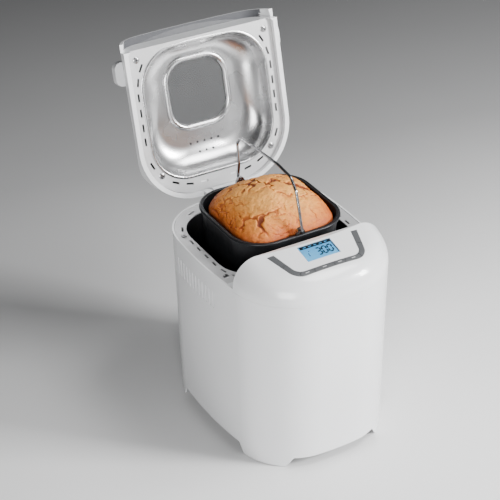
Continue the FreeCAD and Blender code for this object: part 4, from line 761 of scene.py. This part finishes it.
def pan_rim():
    """The rolled bead that finishes the pan's edge."""
    rings = []
    around, middle_half, bead = 20, 84.9, 2.25
    for j in range(around):
        a = 2 * math.pi * j / around
        half = middle_half + bead * math.cos(a)
        level = PAN_RIM + bead * math.sin(a)
        points = round_square(half, half - 35.6, 220, 0.0, PAN_MIDDLE)
        rings.append([(x, y, level) for x, y in points])
    make_piece("pan_rim_bead", [rings_to_mesh(rings, closed=True)], PAN, "pan", M["pan_coating"],
               60.0)


# ---------------------------------------------------------------- marks on the keys


def key_marks():
    """A small plain dash on each key, laid on its curved face."""
    down = (PANEL.to_3x3() @ Vector((0, 0, -1))).normalized()
    inverse = PANEL.inverted()
    for name in ("key_menu", "key_time_up", "key_time_down", "key_loaf_size", "key_crust",
                 "key_light", "key_start_stop"):
        thing = nodes[name]
        world = [thing.matrix_world @ v.co for v in thing.data.vertices]
        flat = [inverse @ p for p in world]
        tree = BVHTree.FromPolygons(world, [tuple(f.vertices) for f in thing.data.polygons])
        cx = (max(p.x for p in flat) + min(p.x for p in flat)) / 2 / MM
        low = min(p.y for p in flat) / MM
        upright = name == "key_start_stop"
        cy = -30.0 if upright else low + 3.7
        if name == "key_menu":
            cx -= 1.0
            cy = low + 4.6
        if upright:
            cx = 62.0
        half_x, half_y = (0.6, 3.0) if upright else (2.9, 0.55)
        grid = []
        for i in range(9):
            row = []
            for j in range(4):
                x = cx + half_x * (i / 4 - 1)
                y = cy + half_y * (j / 1.5 - 1)
                start = PANEL @ (Vector((x, y, 30.0)) * MM)
                hit = tree.ray_cast(start, down, 0.06)[0]
                if hit is None:
                    break
                row.append(tuple((inverse @ hit) / MM + Vector((0, 0, 0.05))))
            grid.append(row)
        if any(len(row) < 4 for row in grid):
            print("no mark on", name)
            continue
        vertices = [p for row in grid for p in row]
        faces = [(i * 4 + j, (i + 1) * 4 + j, (i + 1) * 4 + j + 1, i * 4 + j + 1)
                 for i in range(8) for j in range(3)]
        make_piece(name + "_mark", [(vertices, faces)], PANEL, name, M["liner_grey"],
                   30.0)


loaf()
dome()
display_marks()
screws()
pan_rim()
key_marks()

# ---------------------------------------------------------------- camera, floor and light


CAMERA_TURN = (-29.18, 31.84, -0.98)
CAMERA_AT = (-0.97222, -1.70493, 1.45547)
CAMERA_LENS = 114.45
FLOOR_HALF = 9.0
LAMPS = (
    ("key_lamp", (1.3, -1.3, 1.0), 62, 0.45),
    ("fill_lamp", (-1.3, -2.0, 0.9), 44, 1.0),
    ("top_lamp", (0.5, -0.5, 1.5), 16, 0.6),
)


def studio():
    azimuth, elevation, roll = (math.radians(a) for a in CAMERA_TURN)
    level = math.cos(elevation)
    back = Vector((math.sin(azimuth) * level, -math.cos(azimuth) * level, math.sin(elevation)))
    camera = bpy.data.objects.new("camera", bpy.data.cameras.new("camera"))
    camera.data.lens = CAMERA_LENS
    camera.data.clip_end = 50.0
    turn = back.to_track_quat("Z", "Y").to_matrix().to_4x4() @ Matrix.Rotation(roll, 4, "Z")
    camera.matrix_world = Matrix.Translation(CAMERA_AT) @ turn
    scene.collection.objects.link(camera)
    scene.camera = camera

    size = FLOOR_HALF
    mesh = bpy.data.meshes.new("floor")
    mesh.from_pydata([(-size, -size, 0), (size, -size, 0), (size, size, 0), (-size, size, 0)], [],
                     [(0, 1, 2, 3)])
    floor = bpy.data.objects.new("floor", mesh)
    s = Shader("floor_paper", (0.74, 0.74, 0.745), 0.8)
    s.roughness(s.span(s.noise(5.0, 4.0), 0.7, 0.9, 0.3, 0.7))
    # painted shade and painted light: the floor's colour is graded from dark grey far behind to near
    # white in front
    ways = s.add("ShaderNodeSeparateXYZ")
    s.link(s.place, ways.inputs[0])
    across = s.maths("MULTIPLY", ways.outputs["X"], -0.2)
    away = s.maths("SUBTRACT", across, ways.outputs["Y"])
    s.color(s.ramp(s.span(away, 0.0, 1.0, -1.7, 0.6), (0.0, (0.24, 0.24, 0.243)),
                   (0.42, (0.42, 0.42, 0.424)), (0.7, (0.82, 0.82, 0.82)), (1.0, (0.95, 0.95, 0.95))))
    mesh.materials.append(s.material)
    scene.collection.objects.link(floor)

    world = bpy.data.worlds.new("studio")
    world.use_nodes = True
    tree = world.node_tree
    background = tree.nodes["Background"]
    ways = tree.nodes.new("ShaderNodeTexCoord")
    split = tree.nodes.new("ShaderNodeSeparateXYZ")
    tree.links.new(ways.outputs["Generated"], split.inputs[0])
    fade = tree.nodes.new("ShaderNodeMapRange")
    fade.inputs["From Min"].default_value = -0.9
    fade.inputs["From Max"].default_value = 0.9
    fade.inputs["To Min"].default_value = 0.02
    fade.inputs["To Max"].default_value = 0.22
    tree.links.new(split.outputs["X"], fade.inputs["Value"])
    background.inputs[0].default_value = (0.96, 0.98, 1.0, 1)
    tree.links.new(fade.outputs["Result"], background.inputs[1])
    scene.world = world
    target = Vector((0, 0, 0.22))
    for name, place, power, width in LAMPS:
        light = bpy.data.lights.new(name, "AREA")
        light.energy = power
        light.size = width
        lamp = bpy.data.objects.new(name, light)
        lamp.location = place
        lamp.rotation_euler = (target - lamp.location).to_track_quat("-Z", "Y").to_euler()
        scene.collection.objects.link(lamp)


studio()
